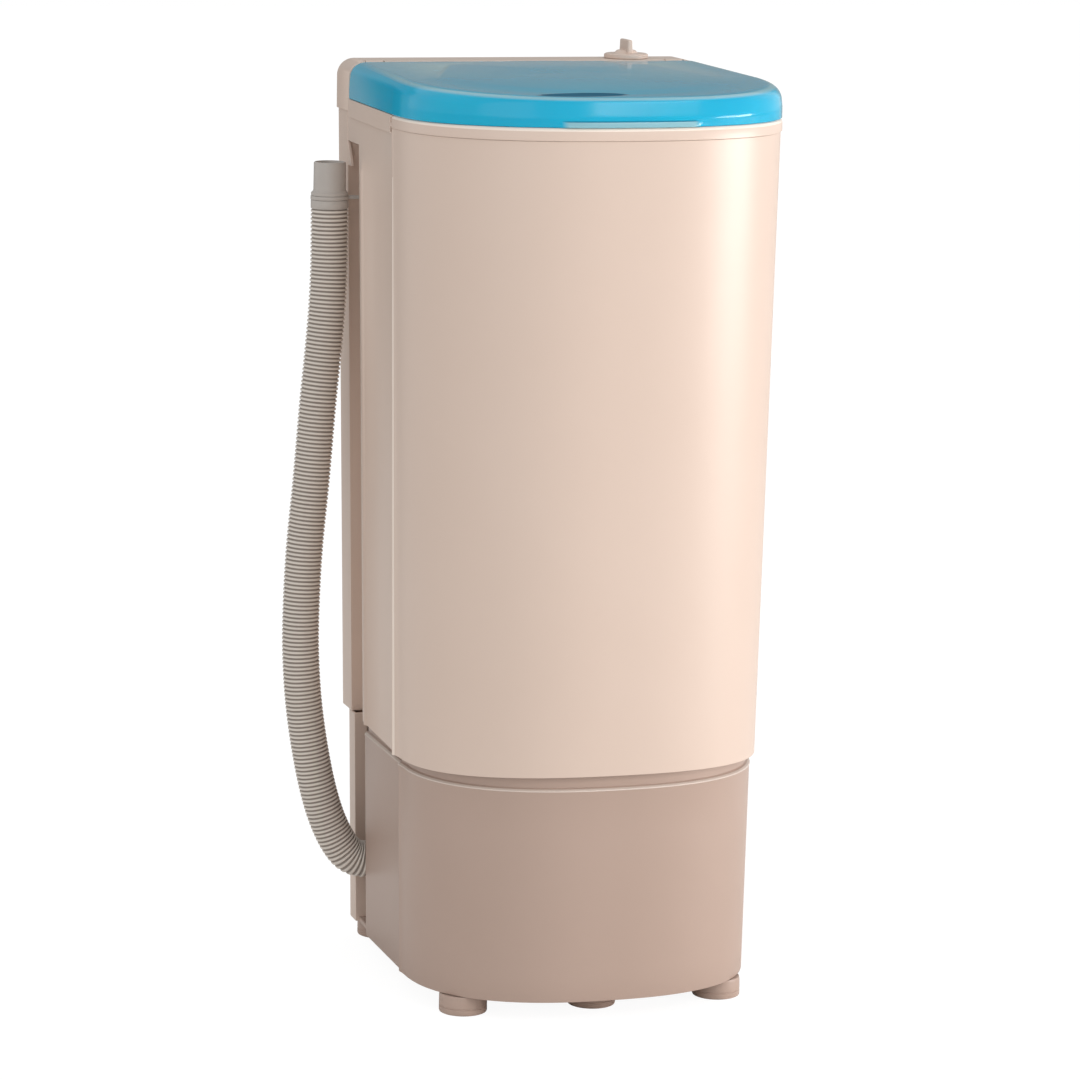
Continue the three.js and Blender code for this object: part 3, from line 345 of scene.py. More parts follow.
# the drain elbow's grey rubber, lighter than the seals
drainRubber = mouldedPlastic("drainRubber", "6A6B6C", "5C5D5F", drift=25, gloss=0.66, grain=1.0, bump=0.25)


def makeHosePlastic():
    # PVC, blow moulded into ribs: soft grey crests, and painted shade that darkens the grooves
    look = {"crest": "DBD3CA", "groove": "877C74", "grain": 1.0}
    material, tree, surface, place = startMaterial("blownHosePlastic")
    depth = spread(tree, marked(tree, "groove"), 0.0, 0.9, 0.15, 0.95)
    feed(tree, surface, {"Base Color": blend(tree, depth, linear(look["crest"]), linear(look["groove"])),
                         "Roughness": spread(tree, depth, 0.42, 0.7),
                         "Normal": bumpFrom(tree, noise(tree, place, look["grain"], 2.0), 0.12), "IOR": 1.52})
    return material


def makeTintedLid(lens):
    # clear SAN, dyed blue and moulded in a polished tool: see-through and glossy, with painted shade in deeper
    # blue, a painted grey reflection and painted highlights
    look = {"clear": "00D0F4", "deep": "00B8E6", "thick": "006688", "pale": "B4DBDF", "paintedReflection": "A3B2B4",
            "drift": 70, "scuff": 9, "sheen": 0.2, "paintedReflectionAmount": 0.6}
    lensX, lensY, lensWide, lensDeep = (size * mm for size in lens)
    material, tree, surface, place = startMaterial("dyedClearPlastic")
    tone = blend(tree, noise(tree, place, look["drift"], 2.0), linear(look["clear"]), linear(look["deep"]))
    # painted reflection: seen at a low angle, the clear top turns grey as its reflection would look
    facing = addNode(tree, "ShaderNodeLayerWeight", {"Blend": 0.5}).outputs["Facing"]
    tone = blend(tree, spread(tree, facing, 0.0, look["paintedReflectionAmount"], 0.78, 0.94), tone, linear(look["paintedReflection"]))
    # painted shade: the dark spot on the top is an ellipse, standing for the dark inside seen through it; the
    # other painted dark marks are on the mesh
    spot = addNode(tree, "ShaderNodeVectorMath", {0: place, 1: (lensX, lensY, 0)},
                   operation="SUBTRACT").outputs[0]
    spot = addNode(tree, "ShaderNodeVectorMath", {0: spot, 1: (1 / lensWide, 1 / lensDeep, 0)},
                   operation="MULTIPLY").outputs[0]
    reach = addNode(tree, "ShaderNodeVectorMath", {0: spot}, operation="LENGTH").outputs["Value"]
    thick = addNode(tree, "ShaderNodeMath",
                    {0: spread(tree, reach, 0.0, 1.0, 1.0, 0.85), 1: marked(tree, "thick")},
                    operation="MAXIMUM").outputs[0]
    tone = blend(tree, thick, tone, linear(look["thick"]))
    scuff = noise(tree, place, look["scuff"], 5.0)
    # painted highlights: where the mesh marks its edges, the lip's band and the dome's rim, the colour turns
    # pale
    feed(tree, surface, {"Base Color": blend(tree, marked(tree, "edge"), tone, linear(look["pale"])),
                         "Specular IOR Level": spread(tree, thick, look["sheen"], 0.0),
                         "Roughness": spread(tree, scuff, 0.12, 0.20), "IOR": 1.57, "Transmission Weight": 0.3})
    return material


def metal(name, colour, shade, stretch, line, cloud, gloss, bump, metallic=1.0):
    # lines left by the tool along one direction, stretched noise in object space, and a slow change of polish
    material, tree, surface, place = startMaterial(name)
    across = addNode(tree, "ShaderNodeMapping", {"Vector": place, "Scale": stretch}).outputs[0]
    lines = noise(tree, across, line, 3.0)
    polishing = noise(tree, place, cloud, 3.0)
    feed(tree, surface, {"Base Color": blend(tree, polishing, linear(colour), linear(shade)),
                         "Roughness": spread(tree, lines, gloss - 0.08, gloss + 0.1),
                         "Normal": bumpFrom(tree, lines, bump, depth=0.1), "Metallic": metallic})
    return material


# stainless sheet of the basket, rolled and bright: fine lines round the drum
rolledStainless = metal("rolledStainless", "C4C6C8", "B4B7BA", (1, 1, 14), line=12, cloud=60, gloss=0.26,
                        bump=0.12)
# turned and zinc-plated steel of pins, shafts and screws: bright with turning rings
platedSteel = metal("platedSteel", "C9CACB", "B0B2B4", (1, 1, 10), line=3, cloud=12, gloss=0.28, bump=0.15)
# pressed steel of plate, housing and springs, dipped in dark grey paint: slight orange peel
dippedSteel = metal("dippedSteel", "4A4D50", "3C3F42", (1, 1, 1), line=2.2, cloud=30, gloss=0.42, bump=0.35,
                    metallic=0.35)
# die-cast aluminium of the brake drum and lever: pale grey, granular
castAluminium = metal("castAluminium", "9EA0A2", "8B8E91", (1, 1, 1), line=1.4, cloud=15, gloss=0.5, bump=0.5,
                      metallic=0.9)
# laminated electrical steel of the rotor: thin sheets stacked upwards, drawn at 2 mm so that they show
stackedSheet = metal("stackedSheet", "6A6C70", "55575B", (0.05, 0.05, 1), line=2, cloud=20, gloss=0.4, bump=0.6,
                     metallic=0.9)
# enamelled copper of the stator's windings: brown-red strands, drawn at 1.2 mm so that they show
enamelledCopper = metal("enamelledCopper", "A4603A", "7E4428", (0.1, 0.1, 1), line=1.2, cloud=10, gloss=0.35,
                        bump=0.7, metallic=0.8)
hosePlastic = makeHosePlastic()


def paintHighlight(piece, material, chosen):
    # a second, lighter finish painted as a highlight on the faces that a test picks, by their centre and normal
    # in millimetres
    piece.data.materials.append(material)
    for face in piece.data.polygons:
        if chosen(face.center / mm, face.normal):
            face.material_index = len(piece.data.materials) - 1


def coatNodes(names, material):
    # a better finish for solids that keep their own shape
    for name in names:
        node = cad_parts[name]
        if node.material_slots:
            for place in node.material_slots:
                place.material = material
        else:
            node.data.materials.append(material)


print("materials ready")

# Drain hose: the free cord comes before the other pieces
hose = {"radius": 16.75, "ribDepth": 1.3, "wall": 1.2, "pitch": 3.68, "sides": 40, "boreSteps": 150}
hoseRoute = [(-0.183, 0.1275, 0.6762), (-0.183, 0.1275, 0.6592), (-0.183, 0.1275, 0.6427),
             (-0.1834, 0.127, 0.620), (-0.1854, 0.1256, 0.585), (-0.189, 0.1246, 0.545),
             (-0.1931, 0.1236, 0.505), (-0.1993, 0.1221, 0.433), (-0.2054, 0.1209, 0.370),
             (-0.2082, 0.1196, 0.318), (-0.2086, 0.1188, 0.279), (-0.2059, 0.1179, 0.233),
             (-0.1996, 0.117, 0.187), (-0.1915, 0.1162, 0.148), (-0.183, 0.1156, 0.121),
             (-0.1725, 0.1151, 0.0995), (-0.163, 0.115, 0.0882), (-0.1527, 0.115, 0.0835),
             (-0.13595, 0.115, 0.0835), (-0.1192, 0.115, 0.0835)]


def smoothRoute(route, perSpan=24):
    # a centripetal curve through the route's points, sampled closely
    points = [Vector(p) for p in route]
    padded = [points[0] * 2 - points[1], *points, points[-1] * 2 - points[-2]]
    line = []
    for a, b, c, d in zip(padded, padded[1:], padded[2:], padded[3:]):
        t1 = max((b - a).length, 1e-9) ** 0.5
        t2 = t1 + max((c - b).length, 1e-9) ** 0.5
        t3 = t2 + max((d - c).length, 1e-9) ** 0.5
        for i in range(perSpan):
            t = t1 + (t2 - t1) * i / perSpan
            ab = a.lerp(b, t / t1)
            bc = b.lerp(c, (t - t1) / (t2 - t1))
            cd = c.lerp(d, (t - t2) / (t3 - t2))
            left = ab.lerp(bc, t / t2)
            right = bc.lerp(cd, (t - t1) / (t3 - t1))
            line.append(left.lerp(right, (t - t1) / (t2 - t1)))
    line.append(points[-1])
    return line


def framesAlong(line):
    # distances and slowly turning frames along a line
    distances = [0.0]
    for a, b in zip(line, line[1:]):
        distances.append(distances[-1] + (b - a).length)
    ahead = [(line[min(i + 1, len(line) - 1)] - line[max(i - 1, 0)]).normalized() for i in range(len(line))]
    side = ahead[0].orthogonal().normalized()
    sides = []
    for t in ahead:
        side = (side - t * side.dot(t)).normalized()
        sides.append(side.copy())
    return distances, ahead, sides


def bendAlong(bm, line):
    # wraps an upright tube round the line: height becomes distance along it
    distances, ahead, sides = framesAlong(line)
    k = 0
    for v in sorted(bm.verts, key=lambda v: v.co.z):
        z = min(max(v.co.z * mm, 0), distances[-1])
        while k < len(distances) - 2 and distances[k + 1] < z:
            k += 1
        share = (z - distances[k]) / max(distances[k + 1] - distances[k], 1e-9)
        centre = line[k].lerp(line[k + 1], share)
        t = ahead[k].lerp(ahead[k + 1], share).normalized()
        side = sides[k].lerp(sides[k + 1], share)
        side = (side - t * side.dot(t)).normalized()
        v.co = centre / mm + side * v.co.x + t.cross(side) * v.co.y


def makeHose():
    line = smoothRoute(hoseRoute)
    length = sum((b - a).length for a, b in zip(line, line[1:]))
    count = round(length / mm / hose["pitch"])
    pitch = length / mm / count
    crest, root = hose["radius"], hose["radius"] - hose["ribDepth"]
    ribShape = [(0.0, root), (0.14, root), (0.24, crest - 0.4), (0.36, crest), (0.62, crest),
                (0.74, crest - 0.4), (0.84, root)]
    profile = [(r, (i + t) * pitch) for i in range(count) for t, r in ribShape]
    profile.append((root, length / mm))
    bore, steps = root - hose["wall"], hose["boreSteps"]
    profile += [(bore, length / mm * (1 - i / steps)) for i in range(steps + 1)]
    profile.append(profile[0])
    bm = bmesh.new()
    spinProfile(bm, profile, steps=hose["sides"])
    groove = bm.verts.layers.float.new("groove")
    for v in bm.verts:
        v[groove] = min(max((crest - math.hypot(v.co.x, v.co.y)) / hose["ribDepth"], 0), 1)
    bmesh.ops.remove_doubles(bm, verts=bm.verts, dist=mergeDistance)
    bmesh.ops.recalc_face_normals(bm, faces=bm.faces)
    bendAlong(bm, line)
    piece = finish(bm, "drainHose", "casing", hosePlastic, angle=60, recalc=False)
    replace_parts(piece, "drain_hose")
    return piece, line, length


hosePiece, hoseLine, hoseLength = makeHose()
print("hose", round(hoseLength, 3), "m")

# Cuff that closes the hose's free end
cuff = {"x": -183, "y": 127.5, "bottom": 676.5, "shoulder": 691.5, "top": 718, "radius": 14.5, "bore": 12.5,
        "ringLow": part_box("hose_hook")[0].z / mm + 6, "ringHigh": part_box("hose_hook")[1].z / mm, "sides": 56}


def makeCuff():
    r, big = cuff["radius"], hose["radius"]
    profile = [(cuff["bore"], cuff["bottom"]), (big - 0.6, cuff["bottom"]), (big, cuff["bottom"] + 0.6),
               (big, cuff["ringLow"] - 0.5), (big - 0.4, cuff["ringLow"] - 0.1), (big - 1.3, cuff["ringLow"]),
               (big - 1.3, cuff["ringHigh"]), (big - 0.3, cuff["ringHigh"] + 0.2),
               (big - 0.2, cuff["shoulder"] - 0.8), (r + 0.5, cuff["shoulder"] + 0.6),
               (r, cuff["shoulder"] + 1.6), (r - 0.25, cuff["top"] - 1.0),
               (r - 0.9, cuff["top"]), (cuff["bore"] + 0.3, cuff["top"]), (cuff["bore"], cuff["top"] - 0.6),
               (cuff["bore"], cuff["bottom"])]
    bm = bmesh.new()
    spinProfile(bm, profile, (cuff["x"], cuff["y"]), cuff["sides"])
    piece = finish(bm, "hoseCuff", "casing", mouldedPolythene, angle=50)
    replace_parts(piece, "hose_cuff")
    return piece


def makeClip():
    # a ring round the cuff, its arm, and the pad that holds it to the recess in the casing's side
    low, high = cuff["ringLow"], cuff["ringHigh"]
    inner, outer = hose["radius"] - 1.2, hose["radius"] + 0.2
    profile = [(inner, low + 0.1), (outer - 0.3, low + 0.1), (outer, low + 0.5), (outer, high - 0.5),
               (outer - 0.3, high - 0.1), (inner, high - 0.1), (inner, low + 0.1)]
    bm = bmesh.new()
    spinProfile(bm, profile, (cuff["x"], cuff["y"]), cuff["sides"])
    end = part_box("hose_hook")[1].x / mm
    addBlock(bm, (cuff["x"] + hose["radius"] - 0.3, cuff["y"] - 2.5, low + 0.3),
             (end - 1.8, cuff["y"] + 2.5, high - 0.3))
    addBlock(bm, (end - 2, cuff["y"] - 7, low - 3), (end, cuff["y"] + 7, high + 3))
    piece = finish(bm, "hoseClip", "casing", mouldedPolythene, bevel=0.3, angle=40)
    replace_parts(piece, "hose_hook")
    return piece


makeCuff()
makeClip()

# Upper casing: one moulded skin round the front and sides, with a bead where the front panel ends
shell = {"rear": 111, "rearRadius": 9, "channel": 15, "beadTop": 0.5, "beadLow": 3.4, "ridge": 1.9,
         "ridgeY": 88, "ridgeTop": 720, "tabBottom": 735, "tabFront": 98, "tabRear": 146.7,
         "tongue": ((147.2, 735.5), (133, 713), (166, 713), (166, 735.5)),
         "levels": (260, 330, 400, 470, 540, 610, 680, 712, 720, 724)}


def shellSide(z):
    # the right side in plan, from the bead back to the hose channel's floor
    inset, corner, back = bodyInset(z), casing["cornerY"], shell["rear"]
    out = sideX(corner) - inset
    low = min(max((shell["ridgeTop"] - z) / (shell["ridgeTop"] - casing["seam"]), 0), 1)
    bead = shell["beadTop"] + (shell["beadLow"] - shell["beadTop"]) * low
    points = [(out + bead * rise, corner - 0.6 + 1.4 * i) for i, rise in enumerate((0.45, 0.95, 1.0, 0.5))]
    points += [(out - casing["panelStep"] * 0.8, corner + 4.6), (out - casing["panelStep"], corner + 5.6)]
    ridge = min(max((shell["ridgeTop"] - z) / 8, 0), 1) * shell["ridge"]
    points.append((sideX(30) - inset - casing["panelStep"], 30))
    for along, rise in ((-4.5, 0), (-2.7, 0.5), (-0.8, 1), (2, 1), (4.5, 0.6), (8, 0)):
        y = shell["ridgeY"] + along
        points.append((sideX(y) - inset - casing["panelStep"] + ridge * rise, y))
    x = sideX(back) - inset - casing["panelStep"]
    points += arcPoints(x - shell["rearRadius"], back - shell["rearRadius"], shell["rearRadius"], 0, 90, 8)
    points.append((sideX(back) - inset - shell["channel"] - casing["wall"], back))
    return points


def seamAt(y):
    share = max(0, (casing["cornerY"] - y) / (casing["frontReach"] + casing["cornerY"]))
    return casing["seam"] + casing["seamArch"] * share ** 2


def makeShell():
    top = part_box("body_shell")[1].z / mm
    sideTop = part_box("side_trim_left")[0].z / mm - 0.3

    def ring(z, heightAt):
        side = shellSide(z)
        return [(x, y, heightAt(y)) for x, y in mirrored(side) + frontCurve(bodyInset(z))[1:-1] + side]

    rings = [ring(casing["seam"], seamAt)]
    rings += [ring(z, lambda y, z=z: z) for z in shell["levels"]]
    rings.append(ring(casing["rimBottom"], lambda y: sideTop if y > casing["cornerY"] + 1.1 else top))
    bm = bmesh.new()
    loft(bm, rings, closed=False)
    faceOut(bm, (0, -183, 500), (0, -1, 0))
    piece = finish(bm, "bodyShell", "casing", mouldedCream, bevel=0.5, wall=casing["wall"],
                   angle=40, recalc=False)
    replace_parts(piece, "body_shell")
    # a painted highlight: a thin lighter line down the bead at the front panel's corner
    paintHighlight(piece, highlightCream,
           lambda at, normal: abs(at.y - casing["cornerY"]) < 0.9 and at.z < shell["ridgeTop"])


def finishPlate(bm, name, sign):
    # stands a thin plate in the casing's side
    for v in bm.verts:
        outer = sideX(v.co.y) - bodyInset(v.co.z) - casing["panelStep"]
        v.co.x = sign * (outer if v.co.x * sign > 0 else outer - casing["wall"])
    finish(bm, name, "casing", mouldedCream, bevel=0.5)


def makeTab(name, sign):
    # closes the top of a hose channel between the side and the rear panel
    bm = blockShape((-1, shell["tabFront"], shell["tabBottom"]),
                    (1, shell["tabRear"], casing["rimBottom"] - 5.3))
    finishPlate(bm, name, sign)


def makeTongue(name, sign):
    # a slanted tongue of the rear panel, which guards the recess below the tab
    bm = bmesh.new()
    chain = addChain(bm, [(sign, y, z) for y, z in shell["tongue"]])
    plate = bmesh.ops.contextual_create(bm, geom=chain[1])["faces"]
    grown = bmesh.ops.extrude_face_region(bm, geom=plate)["geom"]
    bmesh.ops.translate(bm, vec=(-2 * sign, 0, 0),
                        verts=[v for v in grown if isinstance(v, bmesh.types.BMVert)])
    finishPlate(bm, name, sign)


makeShell()
for hand, sign in (("Left", -1), ("Right", 1)):
    makeTab("channelTab" + hand, sign)
for hand, sign in (("Left", -1), ("Right", 1)):
    makeTongue("channelTongue" + hand, sign)
print("casing made")

# Deck with its rim and round mouth, and the raised strip behind the lid
deck = {"rear": 137.5, "cornerY": -35.1, "under": 770, "wallInset": 5.5, "trimDepth": 3, "mouthRadius": 112,
        "mouthWall": 3, "mouthLow": 741, "mouthSides": 128, "highlightFrom": 8}
strip = {"front": 137.5, "top": 806, "radius": 15, "rearRadius": 3.5, "wall": 3, "shaft": (101, 160, 4.2),
         "pocketX": 140, "pocketHalf": 9.2, "pocketRear": 146, "pocketLow": 788.5, "pocketWall": 2.4}
trim = {"front": -34.0, "inset": 0.2, "wall": 2.5, "notches": (6.5, 14.5), "notchHigh": 4.6}
plunger = {"x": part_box("switch_plunger")[0].x / mm + 3, "y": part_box("switch_plunger")[0].y / mm + 3,
           "hole": 3.5}


def deckPlan(inset, z):
    side = [(sideX(y) - inset - deck["trimDepth"], y) for y in (deck["cornerY"], deck["rear"])]
    return atHeight(frontCurve(inset) + side + mirrored(side), z)


def makeDeck():
    low, top, under = casing["rimBottom"], casing["rimTop"], deck["under"]
    levels = [(deck["wallInset"], under), (deck["wallInset"], low), (0.5, low), (0, low + 0.5), (0, top - 2.8),
              (0.5, top - 1.6), (1.3, top - 0.6), (2.4, top)]
    bm = bmesh.new()
    start, rim = loft(bm, [deckPlan(inset, z) for inset, z in levels])
    r, thick, sides = deck["mouthRadius"], deck["mouthWall"], deck["mouthSides"]
    circles = [(r + thick, under), (r + thick, deck["mouthLow"]), (r, deck["mouthLow"]), (r, top - 2.5),
               (r + 0.7, top - 0.8), (r + 2.5, top)]
    rings = [atHeight(arcPoints(0, casing["drumY"], radius, 0, 360 - 360 / sides, sides - 1), z)
             for radius, z in circles]
    mouthStart, mouthEnd = loft(bm, rings)
    bmesh.ops.bridge_loops(bm, edges=rim[1] + mouthEnd[1])
    bmesh.ops.bridge_loops(bm, edges=start[1] + mouthStart[1])
    piece = finish(bm, "topDeck", "casing", mouldedCream, angle=30)
    cutFrom(piece, [roundShape(plunger["hole"], 20, Matrix.Translation((plunger["x"], plunger["y"], top)))])
    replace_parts(piece, "top_frame")
    # a painted highlight on the rim's rounded top edge, away from the mouth
    paintHighlight(piece, highlightCream, lambda at, normal: at.z > top - 2.8 and 0.1 < normal.z < 0.98
           and math.hypot(at.x, at.y - casing["drumY"]) > r + deck["highlightFrom"])


def makeStrip():
    # a hood of rounded section along the back, with pockets for the hinge lugs and a hole for the timer's shaft
    low, half, top, r = casing["rimBottom"], casing["rearHalfWidth"] + 0.6, strip["top"], strip["radius"]

    def section(y, inset):
        arch = arcPoints(half - r, top - r, r, 0, 90, 10) + arcPoints(r - half, top - r, r, 90, 180, 10)
        points = [(half, low)] + arch + [(-half, low)]
        return [(x * (1 - inset / half), y, low if z == low else z - inset) for x, z in points]

    front, back, turned = strip["front"], casing["rearReach"], strip["rearRadius"]
    rings = [section(front, 0.9), section(front + 0.25, 0.3), section(front + 0.9, 0)]
    rings += [section(back - turned + across, turned - out)
              for out, across in arcPoints(0, 0, turned, 0, 90, 6)]
    bm = bmesh.new()
    for verts, edges, _ in loft(bm, rings, closed=False):
        edges.append(bm.edges.new((verts[0], verts[-1])))
        bmesh.ops.contextual_create(bm, geom=edges)
    faceOut(bm, (0, 160, top), (0, 0, 1))
    piece = finish(bm, "topStrip", "casing", mouldedCream, angle=30, wall=strip["wall"],
                   recalc=False)
    x, y, radius = strip["shaft"]
    shapes = [blockShape((sign * strip["pocketX"] - strip["pocketHalf"], front - 2, strip["pocketLow"]),
                         (sign * strip["pocketX"] + strip["pocketHalf"], strip["pocketRear"], top + 2))
              for sign in (-1, 1)]
    cutFrom(piece, shapes + [roundShape(radius, 20, Matrix.Translation((x, y, top)))])
    roundEdges(piece, 0.35)


def makePocket(name, sign):
    # the moulded cup round one hinge lug, open to the front and the top
    x, half, low, top = sign * strip["pocketX"], strip["pocketHalf"], strip["pocketLow"], strip["top"] - 0.6
    bm = blockShape((x - half, strip["front"] + 0.4, low), (x + half, strip["pocketRear"], top))
    openFaces = [f for f in bm.faces if f.normal.z > 0.9 or f.normal.y < -0.9]
    bmesh.ops.delete(bm, geom=openFaces, context="FACES")
    faceOut(bm, (x, strip["pocketRear"], 795), (0, -1, 0))
    finish(bm, name, "casing", mouldedCream, wall=strip["pocketWall"], recalc=False)


def makeTrim(name, node, sign):
    # closes the rim's side between its corner and the strip, set off by a fine gap at either end
    low, top, front = casing["rimBottom"] - 5, casing["rimTop"] - 0.2, trim["front"]
    bm = blockShape((-1, front, low), (1, deck["rear"] - 0.8, top))
    for v in bm.verts:
        outer = sideX(v.co.y) - trim["inset"]
        v.co.x = sign * (outer if v.co.x * sign > 0 else outer - trim["wall"])
    piece = finish(bm, name, "casing", mouldedCream)
    edge = sign * sideX(-34)
    cutFrom(piece, [blockShape((edge - 4, front - 2, top - below),
                               (edge + 4, front + 4.5, top - below + trim["notchHigh"]))
                    for below in trim["notches"]])  # two slots at the front end, where the trim clips on
    roundEdges(piece, 0.5)
    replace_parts(piece, node)


makeDeck()
makeStrip()
for hand, sign in (("Left", -1), ("Right", 1)):
    makePocket("hingePocket" + hand, sign)
for hand, sign in (("Left", -1), ("Right", 1)):
    makeTrim("sideTrim" + hand, "side_trim_" + hand.lower(), sign)
print("deck, strip and trims made")

# Lid: a clear shell with a rounded edge, a round raised dome on top, a finger lip and ribs behind its front
lid = {"rear": 136.5, "bottom": 773.2, "inset": 0.3, "edge": 797.4, "rise": 8.4, "arch": 1.9, "frontRound": 5,
       "sideRound": 13, "wall": 2.4, "foot": 1.3, "lean": 0.27, "belly": 782, "rearShare": 0.4, "knobX": 101,
       "knobRoom": 34, "domeRadius": 130, "domeY": -20, "domeRise": 1.5, "crown": 2.6,
       "lens": (-37, -157, 42, 12), "lipHalf": 57, "lipReach": 2.2, "lipHeight": 4.8,
       "ribXs": (-98, -49, -2, 40, 88, 124),
       "backPoints": 15, "flatInsets": (17, 20, 24), "bright": 0.75}
# lens is the painted dark spot on the top, its centre and half sizes; bright is the strength of the painted
# highlights
tintedLid = makeTintedLid(lid["lens"])


def lidPlan(inset):
    # the outline, with more points along the back, where the top edge is fuller away from the knob
    corner, back = 4, lid["rear"] - min(inset, lid["inset"] + lid["wall"])
    x = sideX(lid["rear"] - corner) - inset
    side = [(sideX(casing["cornerY"] + casing["stepRun"]) - inset, casing["cornerY"] + casing["stepRun"])]
    side += arcPoints(x - corner, back - corner, corner, 0, 90, 6)
    steps = lid["backPoints"]
    straight = [((x - corner) * (1 - i / steps), back) for i in range(1, 2 * steps)]
    deeper = max(inset - lid["inset"] - lid["wall"], 0)
    placed = []
    for px, py in frontCurve(inset) + side + straight + mirrored(side):
        near = 1 - smooth(abs(px - lid["knobX"]), lid["knobRoom"] * 0.6, lid["knobRoom"])
        share = lid["rearShare"] + (1 - lid["rearShare"]) * near
        placed.append((px, py - deeper * share * smooth(py, casing["cornerY"], back)))
    return placed


def topAt(y):
    # the edge climbs from the front and levels out towards the hinge
    share = max(lid["rear"] - y, 0) / (lid["rear"] + casing["frontReach"])
    return lid["edge"] + lid["rise"] * (1 - share ** lid["arch"])


def tiltedRing(points, above):
    return [(x, y, topAt(y) + above) for x, y in points]


def mixedPlan(inset, tuck, start, end):
    # the outline with its front drawn in, less and less towards the sides
    points = []
    for (outX, outY), (inX, inY) in zip(lidPlan(inset), lidPlan(inset + tuck)):
        share = 1 - smooth(abs(outX), start, end) if outY < 0 else 0
        points.append((outX + (inX - outX) * share, outY + (inY - outY) * share))
    return points


def lipRing(inset, tuck, z, push):
    # tucks the front's foot in, and pushes its middle out into the lip, fading at its slanted ends
    points = []
    for x, y in mixedPlan(inset, tuck, 120, 165):
        fade = min(max((lid["lipHalf"] + 6 - abs(x)) / 8, 0), 1) if y < -100 else 0
        points.append((x, y - push * fade, z))
    return points


def roundRing(wall, degrees):
    # the rounded edge: tight along the front, fuller at the sides, over a front that leans back a little
    turn, rings = math.radians(degrees), []
    for full in (lid["frontRound"], lid["sideRound"]):
        lean = lid["lean"] * max(lid["edge"] - full - lid["belly"], 0)
        inset = lid["inset"] + lean + full - (full - wall) * math.cos(turn)
        rings.append(tiltedRing(lidPlan(inset), (full - wall) * math.sin(turn) - full))
    points = []
    for front, side in zip(*rings):
        share = smooth(abs(front[0]), 70, 160) if front[1] < 0 else 1
        points.append(tuple(a + (b - a) * share for a, b in zip(front, side)))
    return points


def domeRing(radius, flat, step):
    # a circle with one point for each point of the outline, along the same bearing from the dome's axis;
    # its step shows round the back and fades towards the front
    points = []
    for x, y in lidPlan(lid["flatInsets"][-1]):
        bearing = math.atan2(y - lid["domeY"], x)
        px, py = radius * math.cos(bearing), lid["domeY"] + radius * math.sin(bearing)
        points += tiltedRing([(px, py)], flat + step * smooth(py, lid["domeY"] - 10, lid["domeY"] + 50))
    return points


def lidSkin(bm, wall, lip):
    inset, low, belly = lid["inset"] + wall, lid["bottom"], lid["belly"]
    foot, crease, reach = lid["foot"], low + lid["lipHeight"], lid["lipReach"]
    if lip:
        rings = [lipRing(inset + 0.5, foot, low, reach), lipRing(inset, foot, low + 0.5, reach),
                 lipRing(inset, foot - 0.1, low + 1.0, reach),
                 lipRing(inset, foot - 0.7, crease - 0.5, reach * 0.3), lipRing(inset, foot - 0.8, crease, 0),
                 lipRing(inset, foot - 1.1, crease + 1.4, 0)]
    else:
        rings = [lipRing(inset, foot, low, 0)]
    rings.append(atHeight(lidPlan(inset), belly - 1.2))
    rings.append(atHeight(mixedPlan(inset, lid["lean"] * 2.0, 70, 160), belly + 1.0))
    rings += [roundRing(wall, degrees) for degrees in range(10, 91, 8)]
    rise, crown, r = lid["domeRise"], lid["crown"], lid["domeRadius"]
    rings += [tiltedRing(lidPlan(edgeIn), 0.15 - wall) for edgeIn in lid["flatInsets"]]
    shape = [(r + 3.0, 0.3, 0), (r + 1.2, 0.45, 0), (r, 0.5, rise * 0.55), (r - 1.4, 0.55, rise),
             (r - 4, 0.65, rise)]
    shape += [(r * t, 0.65 + crown * (1 - t ** 2), rise) for t in (0.93, 0.86, 0.7, 0.5, 0.3, 0.12)]
    rings += [domeRing(radius, flat - wall, step) for radius, flat, step in shape]
    return loft(bm, rings, capLast=True)[0]


def markLid(bm):
    # painted shade where the clear plastic should look dark, and painted highlights where its edges, the lip and
    # the dome's rim catch the light
    thick, edge = bm.verts.layers.float.new("thick"), bm.verts.layers.float.new("edge")
    crease = lid["bottom"] + lid["lipHeight"]
    for v in bm.verts:
        x, y, z = v.co
        below = topAt(y) - z
        onLip = y < -150 and abs(x) < lid["lipHalf"] + 3
        # a painted dark line along the lip's crease, standing for its shade
        v[thick] = 0.8 if onLip and abs(z - crease) < 0.2 else 0
        # a painted highlight along the top edge, and a painted pale reflection on the lip below its crease
        bright = smooth(below, 0.02, 0.3) * (1 - smooth(below, 1.2, 3.0))
        bright = max(bright, 1 if onLip and z < crease - 0.4 else 0)
        v[edge] = lid["bright"] * bright if y < lid["rear"] - 12 else 0
        # a painted highlight along the back of the dome's rim
        fromDome = math.hypot(x, y - lid["domeY"]) - lid["domeRadius"]
        if z > lid["edge"] and -2 < fromDome < 3.5:
            v[edge] = max(v[edge], 0.9 * smooth(y, lid["domeY"] + 25, lid["domeY"] + 60))


def makeLid():
    bm = bmesh.new()
    outer = lidSkin(bm, 0, True)
    inner = lidSkin(bm, lid["wall"], False)
    bmesh.ops.bridge_loops(bm, edges=outer[1] + inner[1])
    frontLine = [p for p in frontCurve(lid["inset"] + lid["wall"]) if p[1] <= -60]
    for x in lid["ribXs"]:  # stiffening ribs stand inside the front wall
        front = min(frontLine, key=lambda p: abs(p[0] - x))[1]
        addBlock(bm, (x - 0.6, front + 1.2, lid["bottom"] + 3), (x + 0.6, front + 5.2, lid["edge"] - 9))
    markLid(bm)
    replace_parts(finish(bm, "lidCover", "lid", tintedLid, angle=28), "lid")


